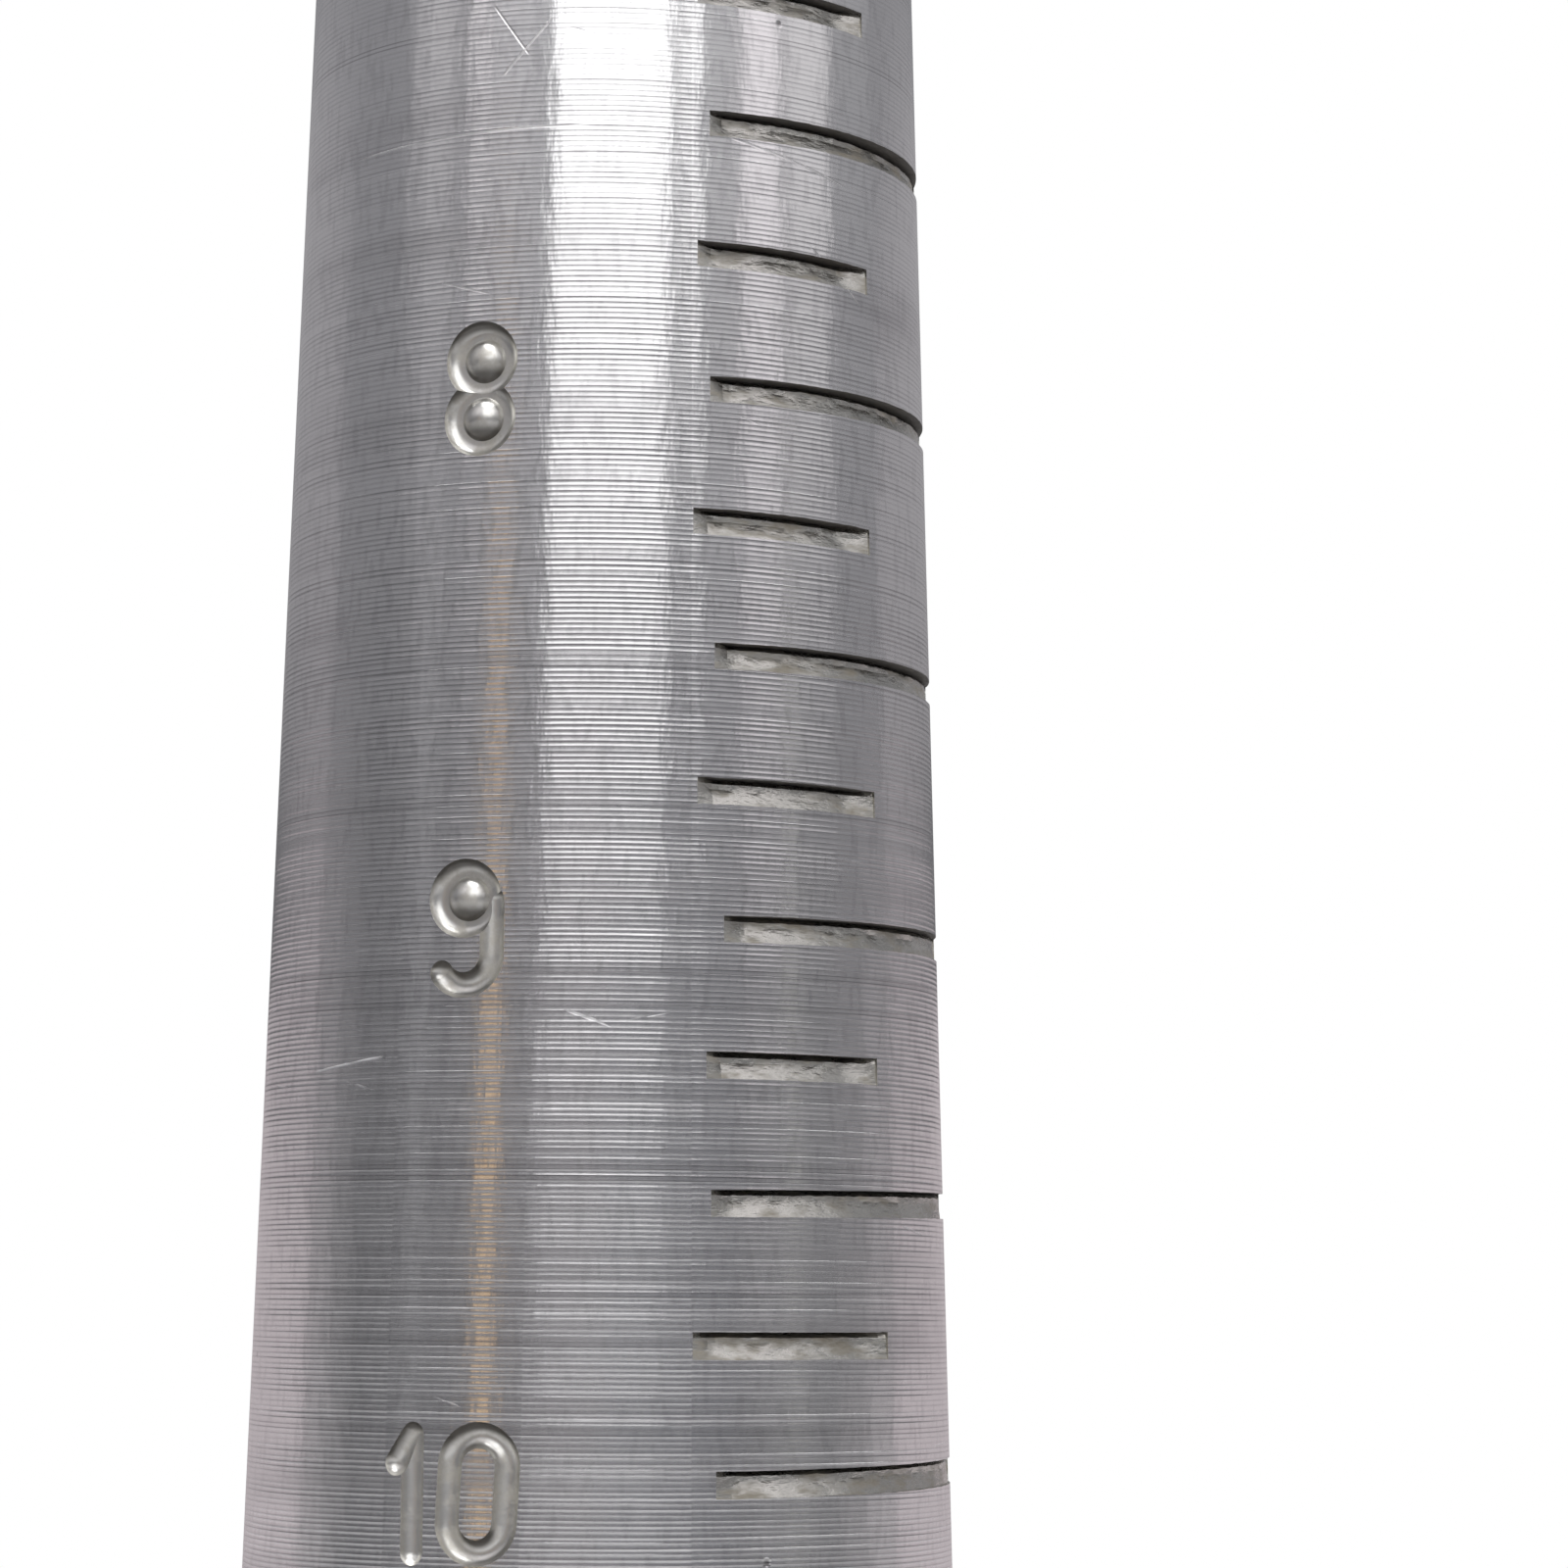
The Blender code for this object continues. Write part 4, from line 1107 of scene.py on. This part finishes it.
def end_plug(wood):
    """Plug with soft edges and a face sunk a little towards its middle."""
    low, high, radius = span("end_plug")
    edge = PLUG_EDGE
    outline = [(0.0, high)] + arc((radius - edge, high - edge), edge, 90, 0, 4)
    outline += arc((radius - edge, low + edge), edge, 0, -70, 6)
    outline += [(0.6 * radius, low + PLUG_FACE_RISE), (0.0, low + PLUG_DISH)]
    piece = turned("end_plug_turned", outline, 96)
    shade(piece, TURNED_SMOOTH_ANGLE)
    finish_piece(piece, "end_plug", "plug_beech", wood)


def hidden_hardware(metal):
    """The stud, washers and nut inside the handle keep the frame's own meshes."""
    for node in ("handle_stud", "end_washer", "lock_washer", "end_nut"):
        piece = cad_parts[node]
        piece.data.materials.clear()
        piece.data.materials.append(metal)


# ---- stage ------------------------------------------------------------------------------------------------
CAMERA_BACK = 126.09 * MM           # from the mandrel's axis
CAMERA_DROP = 24.37 * MM            # below the slot of size 8
CAMERA_LENS = 101.35
CAMERA_YAW = -0.04044
CAMERA_PITCH = 0.11489
CAMERA_ROLL = -0.00583
SENSOR_WIDTH = 36.0
SOFTBOX_DISTANCE = 1.2
WORLD_RISE = (0.03, 0.24)           # sine of the angle up over which the room brightens
WORLD_STRENGTH = (0.10, 0.255)
FLOOR_RADIUS = 2.4
WHITE = (1.0, 1.0, 1.0)
SOFTBOXES = [                       # name, degrees round, degrees up, radiance, tint
    ("window", (-25, 24), (15.0, 52.0), 1.42, WHITE),
    ("window_side", (24, 34), (18.0, 52.0), 1.42, WHITE),
    ("window_foot", (-20, 18), (12.8, 15.0), 1.25, WHITE),
    ("left_strip_far", (-83, -60), (18.0, 52.0), 0.30, (1.0, 0.96, 0.96)),
    ("left_strip", (-57, -46), (20.5, 52.0), 0.88, (1.0, 0.95, 0.96)),
    ("left_fill", (-46, -27), (18.5, 52.0), 0.40, (1.0, 0.98, 1.0)),
    ("right_near", (35, 47), (15.0, 52.0), 0.24, WHITE),
    ("right_strip", (47, 67), (15.0, 52.0), 0.70, (1.0, 0.95, 0.97)),
    ("right_fill", (67, 90), (15.0, 52.0), 0.46, (1.0, 0.97, 0.97)),
    ("right_far", (90, 114), (15.0, 52.0), 0.08, WHITE),
    ("overhead", (-60, 60), (62, 98), 4.5, WHITE),
    ("low_front", (-24, 6), (3.5, 8.0), 0.08, (1.0, 0.84, 0.93)),
    ("low_front_blue", (0, 46), (-24.0, 5.0), 0.01, (0.25, 0.40, 1.0)),
    ("low_front_pink", (-34, -2), (-24.0, 1.5), 0.02, (1.0, 0.70, 0.80)),
    ("low_warm_strip", (-40, -36), (-0.5, 5.6), 1.2, (1.0, 0.62, 0.25)),
    ("low_left_thin", (-67, -62), (1.5, 9.0), 0.15, WHITE),
    ("low_right_thin", (63, 69), (3.5, 8.0), 0.28, (1.0, 1.0, 0.86)),
    ("low_left", (-176, -110), (-30.0, 3.2), 0.37, (1.0, 0.88, 0.91)),
    ("mid_left", (-176, -112), (7.0, 17.0), 0.08, (1.0, 0.92, 0.93)),
    ("low_left_edge", (-110, -100), (-30.0, 3.6), 0.20, (1.0, 0.92, 0.94)),
    ("low_left_soft", (-100, -90), (-30.0, 3.6), 0.08, (1.0, 0.94, 0.95)),
    ("low_right", (110, 176), (-30.0, 3.8), 0.38, (1.0, 0.88, 0.91)),
    ("low_right_edge", (98, 110), (-15.0, 4.5), 0.24, (1.0, 0.92, 0.94)),
    ("low_right_soft", (84, 98), (-8.0, 4.5), 0.12, (1.0, 0.94, 0.95)),
    ("mid_right", (112, 176), (7.0, 17.0), 0.10, (1.0, 0.92, 0.93)),
    ("low_right_fill", (52, 84), (-6.0, 4.0), 0.05, WHITE),
]


def add_camera():
    data = bpy.data.cameras.new("camera")
    data.lens = CAMERA_LENS
    data.sensor_width = SENSOR_WIDTH
    data.clip_start = 0.005
    data.clip_end = 50.0
    camera = bpy.data.objects.new("camera", data)
    bpy.context.scene.collection.objects.link(camera)
    look = Matrix.Rotation(CAMERA_YAW, 3, "Z") @ Matrix.Rotation(CAMERA_PITCH, 3, "X")
    look = look @ Matrix.Rotation(CAMERA_ROLL, 3, "Y") @ Matrix.Rotation(math.radians(90), 3, "X")
    place = Vector((0.0, -CAMERA_BACK, size_height(8) - CAMERA_DROP))
    camera.matrix_world = Matrix.Translation(place) @ look.to_4x4()
    bpy.context.scene.camera = camera


def add_softbox(name, degrees, elevations, radiance, tint):
    """Flat softbox that fills a span of directions seen from the gauge; the camera itself doesn't see it."""
    middle = Vector((0.0, 0.0, size_height(8)))
    round_angle = math.radians(sum(degrees) / 2)
    up = math.radians(sum(elevations) / 2)
    width = 2 * SOFTBOX_DISTANCE * math.tan(math.radians(degrees[1] - degrees[0]) / 2) * math.cos(up)
    height = 2 * SOFTBOX_DISTANCE * math.tan(math.radians(elevations[1] - elevations[0]) / 2)
    level = math.cos(up)
    out = Vector((math.sin(round_angle) * level, -math.cos(round_angle) * level, math.sin(up)))
    data = bpy.data.lights.new(name, "AREA")
    data.shape = "RECTANGLE"
    data.size = width
    data.size_y = height
    data.energy = radiance * math.pi * width * height
    data.color = tint
    light = bpy.data.objects.new(name, data)
    bpy.context.scene.collection.objects.link(light)
    light.location = middle + out * SOFTBOX_DISTANCE
    light.rotation_euler = out.to_track_quat("Z", "Y").to_euler()
    light.visible_camera = False


def add_world():
    """A white surround for the camera; the metal mirrors a dim grey room."""
    world = bpy.data.worlds.new("studio")
    world.use_nodes = True
    bpy.context.scene.world = world
    graph = Graph(world.node_tree)
    world.node_tree.nodes.clear()
    seen = graph.add("ShaderNodeBackground", Color=(1.0, 1.0, 1.0, 1.0), Strength=1.0)
    toward = graph.add("ShaderNodeTexCoord").outputs["Generated"]
    strength = graph.stretch(graph.parts(toward)["Z"], *WORLD_RISE, *WORLD_STRENGTH)
    lit = graph.add("ShaderNodeBackground", Color=(0.95, 0.95, 1.0, 1.0), Strength=strength)
    ray = graph.add("ShaderNodeLightPath").outputs["Is Camera Ray"]
    mixed = graph.add("ShaderNodeMixShader")
    graph.feed(mixed.inputs[0], ray)
    graph.feed(mixed.inputs[1], lit.outputs[0])
    graph.feed(mixed.inputs[2], seen.outputs[0])
    out = graph.add("ShaderNodeOutputWorld")
    graph.feed(out.inputs[0], mixed.outputs[0])


def add_floor():
    start_clean()
    bpy.ops.mesh.primitive_circle_add(vertices=128, radius=FLOOR_RADIUS, fill_type="NGON", location=(0, 0, 0))
    floor = settle(bpy.context.object, "floor")
    material, graph, shader, where = plain_material("pale_floor")
    shader.inputs["Base Color"].default_value = (0.82, 0.82, 0.82, 1.0)
    shader.inputs["Roughness"].default_value = 0.85
    floor.data.materials.append(material)


add_camera()
groups = (lathe_lines_group(), wear_group(), gouge_group())
grain = beech_grain_group()
gauge_cone(
    turned_metal("turned_aluminium", (0.93, 0.92, 0.925), (0.31, 0.30, 0.31), 0.19, 0.0043 * MM, FEED_PITCH,
                 groups, is_gauge=True),
    sawn_metal("sawn_slot", (0.66, 0.65, 0.61), (0.33, 0.29, 0.22)),
    cut_metal("punched_figure", (0.78, 0.77, 0.74), (0.42, 0.39, 0.32), 0.30, 0.004 * MM, 0.55, 0.88))
stop_collar(turned_metal("collar_aluminium", (0.74, 0.735, 0.74), (0.42, 0.41, 0.42), 0.24, 0.0025 * MM,
                         0.11 * MM, groups))
ferrule(turned_metal("ferrule_brass", (0.74, 0.52, 0.22), (0.36, 0.23, 0.10), 0.22, 0.0012 * MM, 0.10 * MM,
                     groups))
ferrule_pins(cut_metal("pin_brass", (0.60, 0.42, 0.18), (0.24, 0.15, 0.07), 0.30, 0.006 * MM, 0.8, 0.4))
handle(beech("varnished_beech", grain, (0.50, 0.24, 0.085), (0.33, 0.135, 0.042), 0.55, 0.38, 0.45))
end_plug(beech("plug_beech", grain, (0.46, 0.26, 0.12), (0.30, 0.15, 0.06), 0.1, 0.62, 0.6))
hidden_hardware(plated_steel("zinc_steel", groups[1]))
add_world()
add_floor()
for softbox in SOFTBOXES:
    add_softbox(*softbox)

bpy.context.scene.view_settings.view_transform = "Standard"
